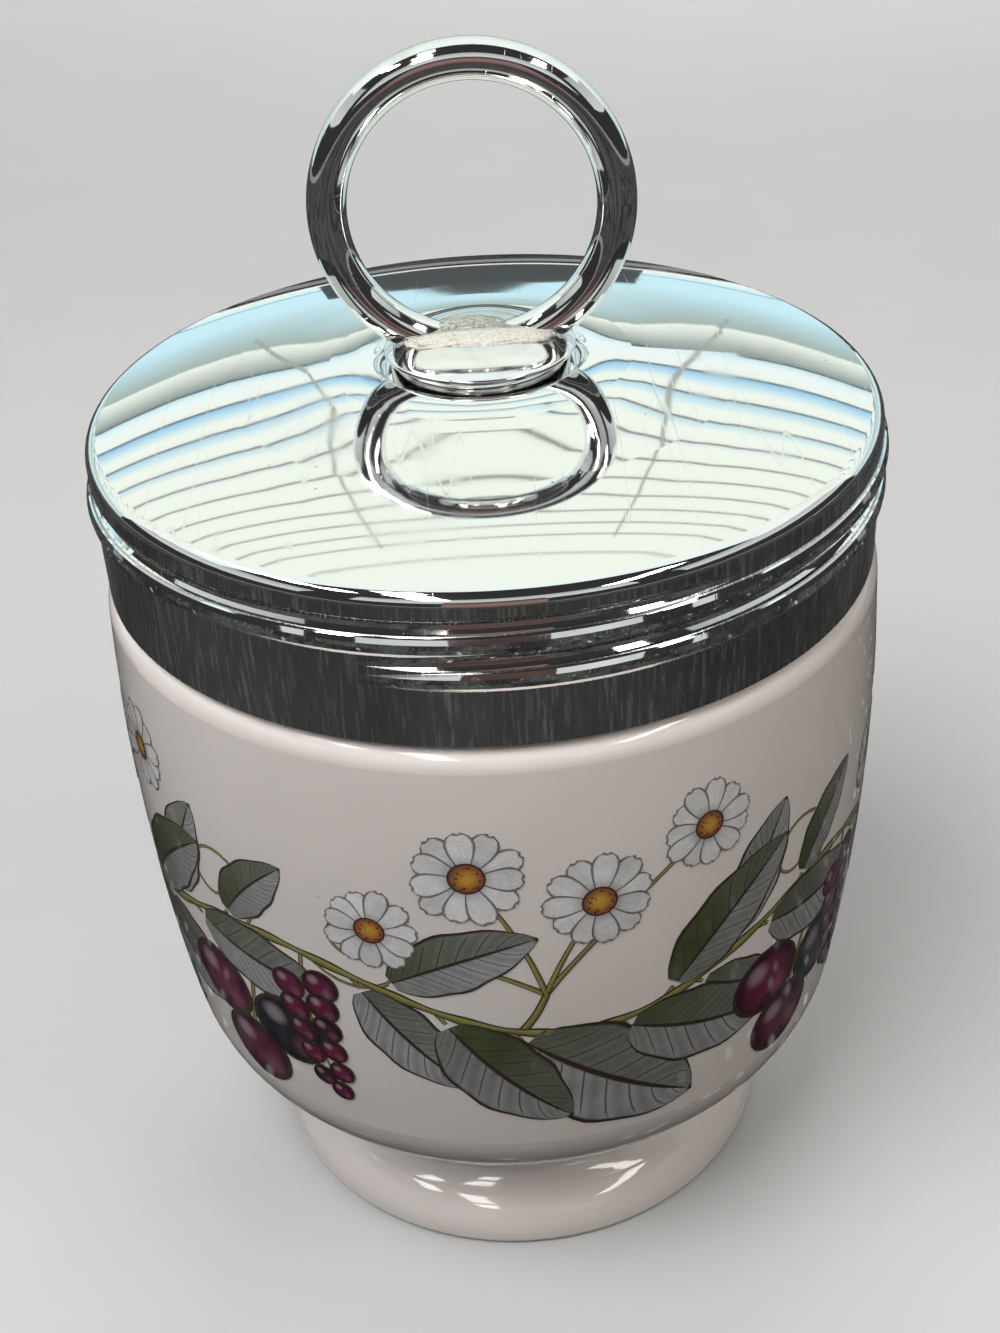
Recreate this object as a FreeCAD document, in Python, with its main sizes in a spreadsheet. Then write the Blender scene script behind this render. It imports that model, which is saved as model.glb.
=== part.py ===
"""Porcelain egg coddler: a footed porcelain cup with a screw-on metal lid and a lifting ring.

Millimetres. The origin is the centre of the circle that the foot stands on, and +Z points up.
The lid is drawn screwed right down.
"""
import FreeCAD, Part
import math
import os

import Sketcher
from FreeCAD import Placement, Rotation, Vector

DRIVING_SIZES = (
    # the foot ring
    ("foot_radius", 25.4, "outside of the foot at its widest"),
    ("foot_round", 0.9, "rounding of the foot's lower edges"),
    ("foot_land", 1.6, "width of the flat that the foot stands on"),
    ("foot_crown", 4.2, "rounding between the foot's side and its sloping top"),
    ("foot_slope", 28.0, "slope of the foot's top, in degrees"),
    ("foot_ramp", 0.3, "length of that slope, up to the cove under the bowl"),
    ("foot_wall", 3.4, "thickness of the foot at its waist"),
    ("base_wall", 4.9, "thickness of the bowl's base over the hollow foot"),
    ("recess_round", 3.0, "rounding between the hollow's roof and the foot ring"),
    # the bowl
    ("belly_round", 11.5, "outer radius of the curve from the base to the side"),
    ("belly_radius", 21.1, "distance of that curve's centre from the axis"),
    ("belly_height", 24.4, "height of that curve's centre"),
    ("side_curve", 208.0, "outer radius of the side's long curve"),
    ("side_height", 50.2, "height of the bowl's widest circle"),
    ("cup_wall", 4.2, "thickness of the porcelain in the bowl"),
    ("shoulder_round", 2.0, "rounding of the shoulder below the lid"),
    ("shoulder_height", 66.0, "height of the ledge that the neck stands on"),
    # the neck
    ("ledge_width", 0.34, "width of the flat ledge between shoulder and neck"),
    ("neck_height", 12.82, "height of the neck's rim above that ledge"),
    ("neck_wall", 3.5, "thickness of the neck"),
    ("throat_length", 6.0, "height of the step between the neck's bore and the bowl's"),
    # the screw thread
    ("thread_pitch", 3.0, "rise of the thread in one turn"),
    ("thread_drop", 2.42, "depth of the thread's upper end below the rim"),
    ("thread_gap", 0.3, "clearance between the porcelain thread and the skirt"),
    ("thread_azimuth", 250.0, "direction of the thread's lower end, in degrees from +X"),
    ("thread_fade", 32.0, "angle over which a thread end fades out"),
    ("bead_turns", 1.5, "length of the bead that stands out of the skirt, in turns"),
    ("bead_height", 0.5, "how far the bead stands out"),
    ("bead_width", 2.0, "width of the bead"),
    ("groove_turns", 1.15, "length of the groove rolled into the skirt, in turns"),
    ("groove_depth", 0.55, "how far the groove is rolled in"),
    ("groove_width", 1.8, "width of the groove"),
    ("rib_turns", 1.15, "length of the porcelain thread, in turns"),
    ("rib_height", 0.95, "how far the porcelain thread stands out of the neck"),
    ("rib_width", 2.1, "width of the porcelain thread"),
    # the lid's sheet
    ("sheet", 0.65, "thickness of the metal"),
    ("skirt_gap", 0.4, "gap between the skirt's edge and the shoulder"),
    ("seat_gap", 0.33, "gap between the cup's rim and the lid"),
    ("edge_round", 1.4, "rounding of the lid's outer edge"),
    ("edge_slope", 14.0, "slope of the dome where that rounding begins, in degrees"),
    ("dome_curve", 95.0, "radius of the dome's outer curve"),
    ("cone_slope", 7.3, "slope of the dome's straight middle, in degrees"),
    ("crown_curve", 28.0, "radius of the dome's inner curve, round the well"),
    ("well_round", 0.9, "rounding of the mouth of the well that the boss sits in"),
    ("well_gap", 0.7, "gap between the boss and the well's wall"),
    ("well_depth", 1.73, "depth of the well below the crown"),
    # the boss, its stem and the washer behind the sheet
    ("boss_neck", 7.5, "radius of the boss under its collar"),
    ("boss_radius", 8.0, "radius of the collar"),
    ("collar_gap", 0.55, "gap between the collar and the lid's crown"),
    ("collar_height", 1.62, "thickness of the collar"),
    ("collar_round", 1.5, "rounding of the collar's upper edge"),
    ("collar_ease", 0.1, "rounding of the collar's lower edge"),
    ("stem_radius", 3.0, "radius of the stem through the lid"),
    ("stem_gap", 0.05, "clearance round the stem"),
    ("head_radius", 4.6, "radius of the stem's riveted head"),
    ("head_height", 1.0, "thickness of that head"),
    ("washer_radius", 6.5, "radius of the backing washer"),
    ("washer_height", 1.0, "thickness of the backing washer"),
    ("washer_gap", 0.06, "clearance above and below the backing washer"),
    # the lifting ring and its brazing
    ("ring_radius", 11.55, "radius of the ring's centre line"),
    ("wire_radius", 1.6, "radius of the ring's wire"),
    ("ring_stand", 0.2, "how much of the wire's top stands above the collar"),
    ("braze_gap", 0.04, "clearance between the wire and its slot"),
    ("braze_length", 6.4, "half length of the brazing, along the ring"),
    ("braze_width", 6.1, "half width of the brazing"),
    ("braze_height", 0.75, "height of the brazing above the collar"),
)

# how far a thread form's foot goes into its wall, the angle between points of its curve,
# and the flats that its rounded section is made of
ROOT_DEPTH = 0.05
THREAD_STEP = 15.0
FLAT_COUNT = 6

document = FreeCAD.newDocument("EggCoddler")
sheet = document.addObject("Spreadsheet::Sheet", "Sizes")


class Size:
    """A number together with the expression that gives it from the sheet's cells."""

    def __init__(self, value, text):
        self.value = float(value)
        self.text = text

    def __add__(self, other):
        other = as_size(other)
        return Size(self.value + other.value, f"({self.text} + {other.text})")

    def __sub__(self, other):
        other = as_size(other)
        return Size(self.value - other.value, f"({self.text} - {other.text})")

    def __mul__(self, other):
        other = as_size(other)
        return Size(self.value * other.value, f"({self.text} * {other.text})")

    def __truediv__(self, other):
        other = as_size(other)
        return Size(self.value / other.value, f"({self.text} / {other.text})")

    def __neg__(self):
        return Size(-self.value, f"(0 - {self.text})")

    __radd__ = __add__

    def __rmul__(self, other):
        return self * other

    def __rsub__(self, other):
        return as_size(other) - self


def as_size(number):
    return number if isinstance(number, Size) else Size(number, repr(float(number)))


def root(size):
    return Size(math.sqrt(size.value), f"sqrt({size.text})")


def sine(degrees):
    return Size(math.sin(math.radians(degrees.value)), f"sin({degrees.text} * 1deg)")


def cosine(degrees):
    return Size(math.cos(math.radians(degrees.value)), f"cos({degrees.text} * 1deg)")


def fill_sheet():
    """Write the driving dimensions into the sheet and return them by name."""
    cells = {}
    for row, (alias, value, note) in enumerate(DRIVING_SIZES, start=1):
        sheet.set(f"A{row}", alias.replace("_", " "))
        sheet.set(f"B{row}", str(value))
        sheet.setAlias(f"B{row}", alias)
        sheet.set(f"C{row}", note)
        cells[alias] = Size(value, f"Sizes.{alias}")
    document.recompute()
    return cells


SIZE = fill_sheet()


def bind(feature, **properties):
    """Tie a feature's properties to the sheet."""
    for name, size in properties.items():
        feature.setExpression(name, as_size(size).text)


def place(feature, height):
    """Stand a feature on the axis at a height that follows the sheet."""
    feature.Placement = Placement(Vector(0, 0, height.value), Rotation())
    bind(feature, **{"Placement.Base.z": height})


def arc_between(start, end, radius):
    """The shorter arc from start to end. A positive radius turns left on the way, a negative right."""
    size = abs(radius)
    middle = (start + end) * 0.5
    half = (end - start) * 0.5
    rise = math.sqrt(max(size * size - half.dot(half), 0.0))
    across = Vector(-half.y, half.x, 0).normalize() * math.copysign(rise, radius)
    centre = middle + across
    first, last = (start, end) if radius > 0 else (end, start)
    angles = [math.atan2(point.y - centre.y, point.x - centre.x) for point in (first, last)]
    circle = Part.Circle(centre, Vector(0, 0, 1), size)
    return Part.ArcOfCircle(circle, angles[0], angles[1])


def half_section(body, name, corners):
    """Sketch a closed half section on the XZ plane.

    Each corner is (radius, height), or (radius, height, arc) where the edge that leads to the
    corner is an arc of that radius: positive where it turns left on the way, negative where right.
    """
    sketch = body.newObject("Sketcher::SketchObject", name)
    plane = next(item for item in body.Origin.OriginFeatures if item.Role == "XZ_Plane")
    sketch.AttachmentSupport = [(plane, "")]
    sketch.MapMode = "FlatFace"
    points = [Vector(as_size(corner[0]).value, as_size(corner[1]).value, 0) for corner in corners]
    ends = []
    for index, corner in enumerate(corners):
        start, end = points[index - 1], points[index]
        if len(corner) == 3:
            radius = as_size(corner[2])
            edge = sketch.addGeometry(arc_between(start, end, radius.value), False)
            ends.append((edge, 1, 2) if radius.value > 0 else (edge, 2, 1))
            held = radius if radius.value > 0 else -radius
            item = sketch.addConstraint(Sketcher.Constraint("Radius", edge, held.value))
            sketch.setExpression(f"Constraints[{item}]", held.text)
        else:
            edge = sketch.addGeometry(Part.LineSegment(start, end), False)
            ends.append((edge, 1, 2))
    for index, corner in enumerate(corners):
        edge, _, last = ends[index]
        following, first, _ = ends[(index + 1) % len(corners)]
        sketch.addConstraint(Sketcher.Constraint("Coincident", edge, last, following, first))
        for kind, axis, size in (("DistanceX", -2, corner[0]), ("DistanceY", -1, corner[1])):
            size = as_size(size)
            if size.value == 0:
                sketch.addConstraint(Sketcher.Constraint("PointOnObject", edge, last, axis))
                continue
            item = sketch.addConstraint(Sketcher.Constraint(kind, -1, 1, edge, last, size.value))
            sketch.setExpression(f"Constraints[{item}]", size.text)
    return sketch


def turned(name, corners):
    """A body made by turning a half section about the Z axis."""
    body = document.addObject("PartDesign::Body", name)
    sketch = half_section(body, f"{name}_section", corners)
    turn = body.newObject("PartDesign::Revolution", f"{name}_turned")
    turn.Profile = sketch
    turn.ReferenceAxis = (sketch, ["V_Axis"])
    turn.Angle = 360
    sketch.Visibility = False
    document.recompute()
    return body


def helical_rib(name, wall, reach, width, height, turns):
    """A rounded rib that winds up round the Z axis and fades out at both ends.

    It stands on a wall of radius `wall` and reaches out by `reach`, or in where that is negative.
    Its foot goes a little way into the wall, and its ends sink into the wall until they are gone.
    """
    outwards = math.copysign(1.0, reach.value)
    foot = wall.value - outwards * ROOT_DEPTH
    whole = reach.value + outwards * ROOT_DEPTH
    azimuth = SIZE["thread_azimuth"].value
    pitch = SIZE["thread_pitch"].value
    fade = SIZE["thread_fade"].value
    sweep = 360.0 * turns.value
    steps = math.ceil(sweep / THREAD_STEP)
    points = []
    for step in range(steps + 1):
        angle = sweep * step / steps
        faded = 1 - min(angle, sweep - angle, fade) / fade
        radius = foot - whole * faded ** 2
        direction = math.radians(azimuth + angle)
        points.append(Vector(radius * math.cos(direction), radius * math.sin(direction),
                             height.value + pitch * angle / 360.0))
    curve = Part.BSplineCurve()
    curve.interpolate(points)
    start = points[0]
    up = Vector(0, 0, width.value / 2)
    side = Vector(start.x, start.y, 0).normalize() * whole
    crown = Part.Arc(start - up, start + side, start + up).discretize(Number=FLAT_COUNT + 1)
    sweeping = Part.BRepOffsetAPI.MakePipeShell(Part.Wire([curve.toShape()]))
    sweeping.setBiNormalMode(Vector(0, 0, 1))
    sweeping.add(Part.makePolygon([*crown, crown[0]]))
    sweeping.build()
    sweeping.makeSolid()
    feature = document.addObject("Part::Feature", name)
    feature.Shape = sweeping.shape()
    return feature


def combined(kind, name, base, tool):
    """A boolean of two features: kind is Part::Fuse or Part::Cut."""
    result = document.addObject(kind, name)
    result.Base = base
    result.Tool = tool
    result.Refine = False
    document.recompute()
    return result


def lying(kind, name, height, shift=None, **sizes):
    """A primitive whose own axis lies along -Y, at a height on the Z axis, moved back by shift."""
    feature = document.addObject(kind, name)
    shift = as_size(shift or 0)
    feature.Placement = Placement(Vector(0, shift.value, height.value), Rotation(Vector(1, 0, 0), 90))
    for key, size in sizes.items():
        setattr(feature, key, size.value)
    bind(feature, **sizes)
    bind(feature, **{"Placement.Base.y": shift, "Placement.Base.z": height})
    return feature


# the bowl's side is an arc about side_centre, and runs over into the belly's arc below it
# and into the shoulder's arc above it
side_and_belly = SIZE["side_curve"] - SIZE["belly_round"]
side_and_shoulder = SIZE["side_curve"] - SIZE["shoulder_round"]
belly_fall = (SIZE["side_height"] - SIZE["belly_height"]) / side_and_belly
belly_level = root(1 - belly_fall * belly_fall)
side_centre = SIZE["belly_radius"] - side_and_belly * belly_level
shoulder_rise = SIZE["shoulder_height"] - SIZE["shoulder_round"] - SIZE["side_height"]
shoulder_reach = root(side_and_shoulder * side_and_shoulder - shoulder_rise * shoulder_rise)

# the neck stands on the ledge inside the shoulder, and the skirt goes round its thread
neck_radius = side_centre + shoulder_reach - SIZE["ledge_width"]
skirt_bore = neck_radius + SIZE["rib_height"] + SIZE["thread_gap"]
skirt_radius = skirt_bore + SIZE["sheet"]

# heights that several pieces share
rim_height = SIZE["shoulder_height"] + SIZE["neck_height"]
skirt_edge = SIZE["shoulder_height"] + SIZE["skirt_gap"]
thread_start = rim_height - SIZE["thread_drop"] - SIZE["thread_pitch"] * SIZE["bead_turns"]

# the lid's top from its edge inwards: a rounded edge, a curve, a cone, a smaller curve and a well
edge_centre = skirt_radius - SIZE["edge_round"]
dome_edge = edge_centre + SIZE["edge_round"] * sine(SIZE["edge_slope"])
cone_edge = dome_edge - SIZE["dome_curve"] * (sine(SIZE["edge_slope"]) - sine(SIZE["cone_slope"]))
well_radius = SIZE["boss_neck"] + SIZE["well_gap"]
crown_radius = well_radius + SIZE["well_round"]
cone_top = crown_radius + SIZE["crown_curve"] * sine(SIZE["cone_slope"])

# the inside of the dome's outer curve rests on the cup's round rim
dome_centre = dome_edge - SIZE["dome_curve"] * sine(SIZE["edge_slope"])
rim_round = SIZE["neck_wall"] / 2
rim_offset = neck_radius - rim_round - dome_centre
rim_reach = SIZE["dome_curve"] - SIZE["sheet"] - SIZE["seat_gap"] - rim_round
dome_level = rim_height - rim_round - root(rim_reach * rim_reach - rim_offset * rim_offset)
dome_edge_height = dome_level + SIZE["dome_curve"] * cosine(SIZE["edge_slope"])
edge_height = dome_edge_height - SIZE["edge_round"] * cosine(SIZE["edge_slope"])
cone_edge_height = dome_level + SIZE["dome_curve"] * cosine(SIZE["cone_slope"])
cone_tilt = sine(SIZE["cone_slope"]) / cosine(SIZE["cone_slope"])
cone_top_height = cone_edge_height + (cone_edge - cone_top) * cone_tilt
crown_height = cone_top_height + SIZE["crown_curve"] * (1 - cosine(SIZE["cone_slope"]))
well_floor = crown_height - SIZE["well_depth"]
well_underside = well_floor - SIZE["sheet"]

# the stack on the axis
stem_hole = SIZE["stem_radius"] + SIZE["stem_gap"]
washer_top = well_underside - SIZE["washer_gap"]
washer_bottom = washer_top - SIZE["washer_height"]
head_top = washer_bottom - SIZE["washer_gap"]
collar_bottom = crown_height + SIZE["collar_gap"]
collar_top = collar_bottom + SIZE["collar_height"]
ring_height = collar_top + SIZE["ring_stand"] + SIZE["ring_radius"] - SIZE["wire_radius"]


def make_cup():
    """The porcelain: foot ring, bowl, neck with its moulded thread, and the hollow for the egg."""
    foot_round = SIZE["foot_round"]
    foot_outside = SIZE["foot_radius"]
    foot_inside = foot_outside - foot_round * 2 - SIZE["foot_land"]
    recess_round = SIZE["recess_round"]
    wall = SIZE["cup_wall"]
    belly = SIZE["belly_round"]
    belly_radius = SIZE["belly_radius"]
    belly_height = SIZE["belly_height"]
    side = SIZE["side_curve"]
    side_height = SIZE["side_height"]
    shoulder = SIZE["shoulder_round"]
    ledge = SIZE["shoulder_height"]
    throat = SIZE["throat_length"]
    bore = neck_radius - SIZE["neck_wall"]
    lip = SIZE["neck_wall"] / 2
    lip_height = rim_height - lip

    # the hollow's floor and the recess under it
    hollow_floor = belly_height - belly + wall
    recess = hollow_floor - SIZE["base_wall"]

    # the foot's top: a rounded edge, a slope, and a cove that runs over into the belly's curve
    crown = SIZE["foot_crown"]
    slope_out, slope_up = sine(SIZE["foot_slope"]), cosine(SIZE["foot_slope"])
    crown_end = foot_outside - crown + crown * slope_out
    crown_end_height = foot_round + crown * slope_up
    ramp_end = crown_end - SIZE["foot_ramp"] * slope_up
    ramp_end_height = crown_end_height + SIZE["foot_ramp"] * slope_out
    over, under = ramp_end - belly_radius, belly_height - ramp_end_height
    cove = ((over * over + under * under - belly * belly)
            / ((belly + under * slope_up - over * slope_out) * 2))
    cove_radius = ramp_end + cove * slope_out
    cove_height = ramp_end_height + cove * slope_up
    share = belly / (belly + cove)
    waist_inside = cove_radius - cove - SIZE["foot_wall"]

    # the step between the neck's bore and the bowl's is two equal arcs
    inner_side = side - wall
    throat_bottom = ledge - throat
    drop = throat_bottom - side_height
    bowl_bore = side_centre + root(inner_side * inner_side - drop * drop)
    step = bowl_bore - bore
    step_arc = (throat * throat + step * step) / (step * 4)

    stretch = side / side_and_shoulder
    blank = turned("cup_blank", [
        (foot_inside + foot_round, 0, foot_round),
        (foot_outside - foot_round, 0),
        (foot_outside, foot_round, foot_round),
        (crown_end, crown_end_height, crown),
        (ramp_end, ramp_end_height),
        (belly_radius + (cove_radius - belly_radius) * share,
         belly_height - (belly_height - cove_height) * share, -cove),
        (belly_radius + belly * belly_level, belly_height - belly * belly_fall, belly),
        (side_centre + shoulder_reach * stretch, side_height + shoulder_rise * stretch, side),
        (side_centre + shoulder_reach, ledge, shoulder),
        (neck_radius, ledge),
        (neck_radius, lip_height),
        (neck_radius - lip, rim_height, lip),
        (bore, lip_height, lip),
        (bore, ledge),
        ((bore + bowl_bore) / 2, (ledge + throat_bottom) / 2, step_arc),
        (bowl_bore, throat_bottom, -step_arc),
        (belly_radius + (belly - wall) * belly_level,
         belly_height - (belly - wall) * belly_fall, -inner_side),
        (belly_radius, hollow_floor, wall - belly),
        (0, hollow_floor),
        (0, recess),
        (waist_inside - recess_round, recess),
        (waist_inside, recess - recess_round, -recess_round),
        (waist_inside, cove_height),
        (foot_inside, foot_round),
    ])
    rib = helical_rib("porcelain_thread", neck_radius, SIZE["rib_height"], SIZE["rib_width"],
                      thread_start, SIZE["rib_turns"])
    return combined("Part::Fuse", "cup", blank, rib)


def make_lid_cap():
    """The lid: one drawn sheet with a thread rolled into its skirt, bead beside groove."""
    thick = SIZE["sheet"]
    edge_out, edge_up = sine(SIZE["edge_slope"]), cosine(SIZE["edge_slope"])
    cone_out, cone_up = sine(SIZE["cone_slope"]), cosine(SIZE["cone_slope"])
    edge = SIZE["edge_round"]
    dome = SIZE["dome_curve"]
    crown = SIZE["crown_curve"]
    mouth = SIZE["well_round"]
    shell = turned("lid_shell", [
        (skirt_radius, skirt_edge),
        (skirt_radius, edge_height),
        (dome_edge, dome_edge_height, edge),
        (cone_edge, cone_edge_height, dome),
        (cone_top, cone_top_height),
        (crown_radius, crown_height, crown),
        (well_radius, crown_height - mouth, mouth),
        (well_radius, well_floor),
        (stem_hole, well_floor),
        (stem_hole, well_underside),
        (well_radius, well_underside),
        (well_radius + thick, well_floor, thick),
        (well_radius + thick, crown_height - mouth),
        (crown_radius, crown_height - thick, thick - mouth),
        (cone_top - thick * cone_out, cone_top_height - thick * cone_up, thick - crown),
        (cone_edge - thick * cone_out, cone_edge_height - thick * cone_up),
        (dome_edge - thick * edge_out, dome_edge_height - thick * edge_up, thick - dome),
        (skirt_bore, edge_height, thick - edge),
        (skirt_bore, skirt_edge),
    ])

    # the back of the bead and the face of the groove are narrower, as in any rolled sheet
    pinch = thick / 2
    bead = (SIZE["bead_height"], SIZE["bead_width"], thread_start, SIZE["bead_turns"])
    groove = (-SIZE["groove_depth"], SIZE["groove_width"],
              thread_start + SIZE["thread_pitch"] / 2, SIZE["groove_turns"])
    raised = [helical_rib("bead", skirt_radius, *bead),
              helical_rib("groove_back", skirt_bore, *groove)]
    sunk = [helical_rib("bead_back", skirt_bore, bead[0], bead[1] - pinch, *bead[2:]),
            helical_rib("groove", skirt_radius, groove[0], groove[1] - pinch, *groove[2:])]
    cap = document.addObject("Part::Feature", "lid_cap")
    cap.Shape = shell.Shape.fuse([form.Shape for form in raised]).cut([form.Shape for form in sunk])
    return cap


def make_ring_boss():
    """The turned boss: a collar slotted for the ring, a neck and a stem riveted over."""
    collar = SIZE["boss_radius"]
    rounding = SIZE["collar_round"]
    ease = SIZE["collar_ease"]
    head = SIZE["head_radius"]
    head_height = SIZE["head_height"]
    blank = turned("boss_blank", [
        (0, head_top - head_height),
        (head - head_height, head_top - head_height),
        (head, head_top, head_height),
        (SIZE["stem_radius"], head_top),
        (SIZE["stem_radius"], well_floor),
        (SIZE["boss_neck"], well_floor),
        (SIZE["boss_neck"], collar_bottom),
        (collar - ease, collar_bottom),
        (collar, collar_bottom + ease, ease),
        (collar, collar_top - rounding),
        (collar - rounding, collar_top, rounding),
        (0, collar_top),
    ])
    half_slot = SIZE["wire_radius"] + SIZE["braze_gap"]
    slot = lying("Part::Cylinder", "ring_slot", ring_height, half_slot,
                 Radius=SIZE["ring_radius"] + half_slot, Height=half_slot * 2)
    return combined("Part::Cut", "ring_boss", blank, slot)


def make_lifting_ring():
    """The ring, a closed hoop of round wire."""
    return lying("Part::Torus", "lifting_ring", ring_height,
                 Radius1=SIZE["ring_radius"], Radius2=SIZE["wire_radius"])


def make_braze():
    """The low mound of brazing that holds the ring in its slot."""
    mound = document.addObject("Part::Ellipsoid", "braze_mound")
    mound.Radius1 = SIZE["braze_height"].value
    mound.Radius2 = SIZE["braze_length"].value
    mound.Radius3 = SIZE["braze_width"].value
    mound.Angle1 = 0
    bind(mound, Radius1=SIZE["braze_height"], Radius2=SIZE["braze_length"],
         Radius3=SIZE["braze_width"])
    place(mound, collar_top)
    room = lying("Part::Torus", "wire_room", ring_height, Radius1=SIZE["ring_radius"],
                 Radius2=SIZE["wire_radius"] + SIZE["braze_gap"] / 2)
    return combined("Part::Cut", "braze_fillet", mound, room)


def make_washer():
    """The washer that spreads the stem's pull under the thin lid."""
    outer = SIZE["washer_radius"]
    return turned("backing_washer", [
        (stem_hole, washer_bottom),
        (outer, washer_bottom),
        (outer, washer_top),
        (stem_hole, washer_top),
    ])


def check(pieces):
    """Stop if any feature failed or any piece isn't one valid solid."""
    document.recompute()
    for feature in document.Objects:
        if "Invalid" in feature.State or "Error" in feature.State:
            raise RuntimeError(f"{feature.Name} failed: {feature.State}")
    for name, piece in pieces.items():
        shape = piece.Shape
        if shape.isNull() or not shape.isValid() or len(shape.Solids) != 1:
            raise RuntimeError(f"{name} isn't one valid solid")
        print(f"{name}: {shape.Volume / 1000:.3f} cm3, {len(shape.Faces)} faces")


PIECES = {
    "cup": make_cup(),
    "lid_cap": make_lid_cap(),
    "ring_boss": make_ring_boss(),
    "lifting_ring": make_lifting_ring(),
    "braze_fillet": make_braze(),
    "backing_washer": make_washer(),
}
for name, piece in PIECES.items():
    piece.Label = name
check(PIECES)
os.makedirs("parts", exist_ok=True)
for name, piece in PIECES.items():
    piece.Shape.exportStep(f"parts/{name}.step")
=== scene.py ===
"""The looks of a footed porcelain egg coddler with a screw-on metal lid.

Metres, with +Z up and the origin under the middle of the foot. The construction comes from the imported
model; this add-on gives it its glaze, its printed garland, its polished metal and its brazing, and sets
up a pale studio round it.
"""

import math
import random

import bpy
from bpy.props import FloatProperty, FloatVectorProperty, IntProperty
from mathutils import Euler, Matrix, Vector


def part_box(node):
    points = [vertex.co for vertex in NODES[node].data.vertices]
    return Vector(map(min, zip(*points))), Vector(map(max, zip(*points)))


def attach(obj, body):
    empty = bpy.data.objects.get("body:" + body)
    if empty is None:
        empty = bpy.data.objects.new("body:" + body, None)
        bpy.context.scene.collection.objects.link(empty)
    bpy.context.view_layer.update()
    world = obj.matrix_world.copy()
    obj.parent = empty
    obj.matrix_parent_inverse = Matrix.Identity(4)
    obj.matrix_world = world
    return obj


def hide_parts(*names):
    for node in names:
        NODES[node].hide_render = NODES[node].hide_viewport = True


bl_info = {
    "name": "Egg Coddler Finish",
    "version": (1, 0, 0),
    "blender": (4, 5, 0),
    "location": "View3D > Sidebar > Coddler",
    "description": "Glaze, printed garland, polished metal and studio for a screw-lidded egg coddler",
    "category": "Object",
}

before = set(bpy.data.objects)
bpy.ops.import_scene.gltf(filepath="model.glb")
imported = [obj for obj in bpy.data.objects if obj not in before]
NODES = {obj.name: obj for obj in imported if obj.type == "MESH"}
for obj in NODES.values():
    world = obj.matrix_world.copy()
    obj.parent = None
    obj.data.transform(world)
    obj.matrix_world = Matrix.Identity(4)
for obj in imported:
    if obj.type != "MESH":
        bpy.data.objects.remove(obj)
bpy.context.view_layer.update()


# ---------------------------------------------------------------- sizes read from the frame

def profile(node):
    """Every point of a node, as its distance from the Z axis and its height."""
    return [(math.hypot(point.co.x, point.co.y), point.co.z) for point in NODES[node].data.vertices]


def farthest(node, low, high):
    """The largest distance from the Z axis of a node's points between two heights."""
    return max(reach for reach, height in profile(node) if low <= height <= high)


def height_range(node, least):
    """The lowest and highest of a node's points that are at least that far from the Z axis."""
    found = [height for reach, height in profile(node) if reach >= least]
    return min(found), max(found)


def bowl_side():
    """Centre radius, centre height and radius of the arc that the bowl's side follows."""
    foot_top, ledge, swell = 0.026, 0.062, 0.004
    outline = {}
    for reach, height in profile("cup"):
        height = round(height, 6)
        if foot_top < height < ledge:
            outline[height] = max(outline.get(height, 0.0), reach)
    girth = max(outline.values())
    side = sorted(height for height, reach in outline.items() if reach > girth - swell)
    (z1, r1), (z2, r2), (z3, r3) = ((z, outline[z]) for z in (side[0], side[len(side) // 2], side[-1]))
    a = (r2 - r1, z2 - z1)
    b = (r3 - r1, z3 - z1)
    turn = 2 * (a[0] * b[1] - a[1] * b[0])
    aa = a[0] ** 2 + a[1] ** 2
    bb = b[0] ** 2 + b[1] ** 2
    across = (aa * b[1] - bb * a[1]) / turn
    up = (bb * a[0] - aa * b[0]) / turn
    return r1 + across, z1 + up, math.hypot(across, up)


SIDE_CENTRE, SIDE_HEIGHT, SIDE_RADIUS = bowl_side()
GIRTH_RADIUS = SIDE_CENTRE + SIDE_RADIUS
SKIRT_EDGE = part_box("lid_cap")[0].z
SKIRT_RADIUS = farthest("lid_cap", SKIRT_EDGE - 1e-5, SKIRT_EDGE + 1e-4)
SKIRT_TOP = height_range("lid_cap", SKIRT_RADIUS - 2e-5)[1]
BRAZE_LOW, BRAZE_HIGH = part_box("braze_fillet")
BOSS_LOW, BOSS_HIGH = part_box("ring_boss")
WIRE_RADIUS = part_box("lifting_ring")[1].y


# ---------------------------------------------------------------- node trees

class Value:
    """An output of a node. Calculating with it adds nodes to its tree."""

    def __init__(self, graph, socket):
        self.graph = graph
        self.socket = socket

    def __add__(self, other):
        return self.graph.math("ADD", self, other)

    def __sub__(self, other):
        return self.graph.math("SUBTRACT", self, other)

    def __rsub__(self, other):
        return self.graph.math("SUBTRACT", other, self)

    def __mul__(self, other):
        return self.graph.math("MULTIPLY", self, other)

    def __truediv__(self, other):
        return self.graph.math("DIVIDE", self, other)

    def __abs__(self):
        return self.graph.math("ABSOLUTE", self)

    def ramp(self, low, high):
        """0 at low, 1 at high, and a smooth curve between. low may be the larger."""
        return self.graph.out("ShaderNodeMapRange", {0: self, 1: low, 2: high},
                              interpolation_type="SMOOTHSTEP")


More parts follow.
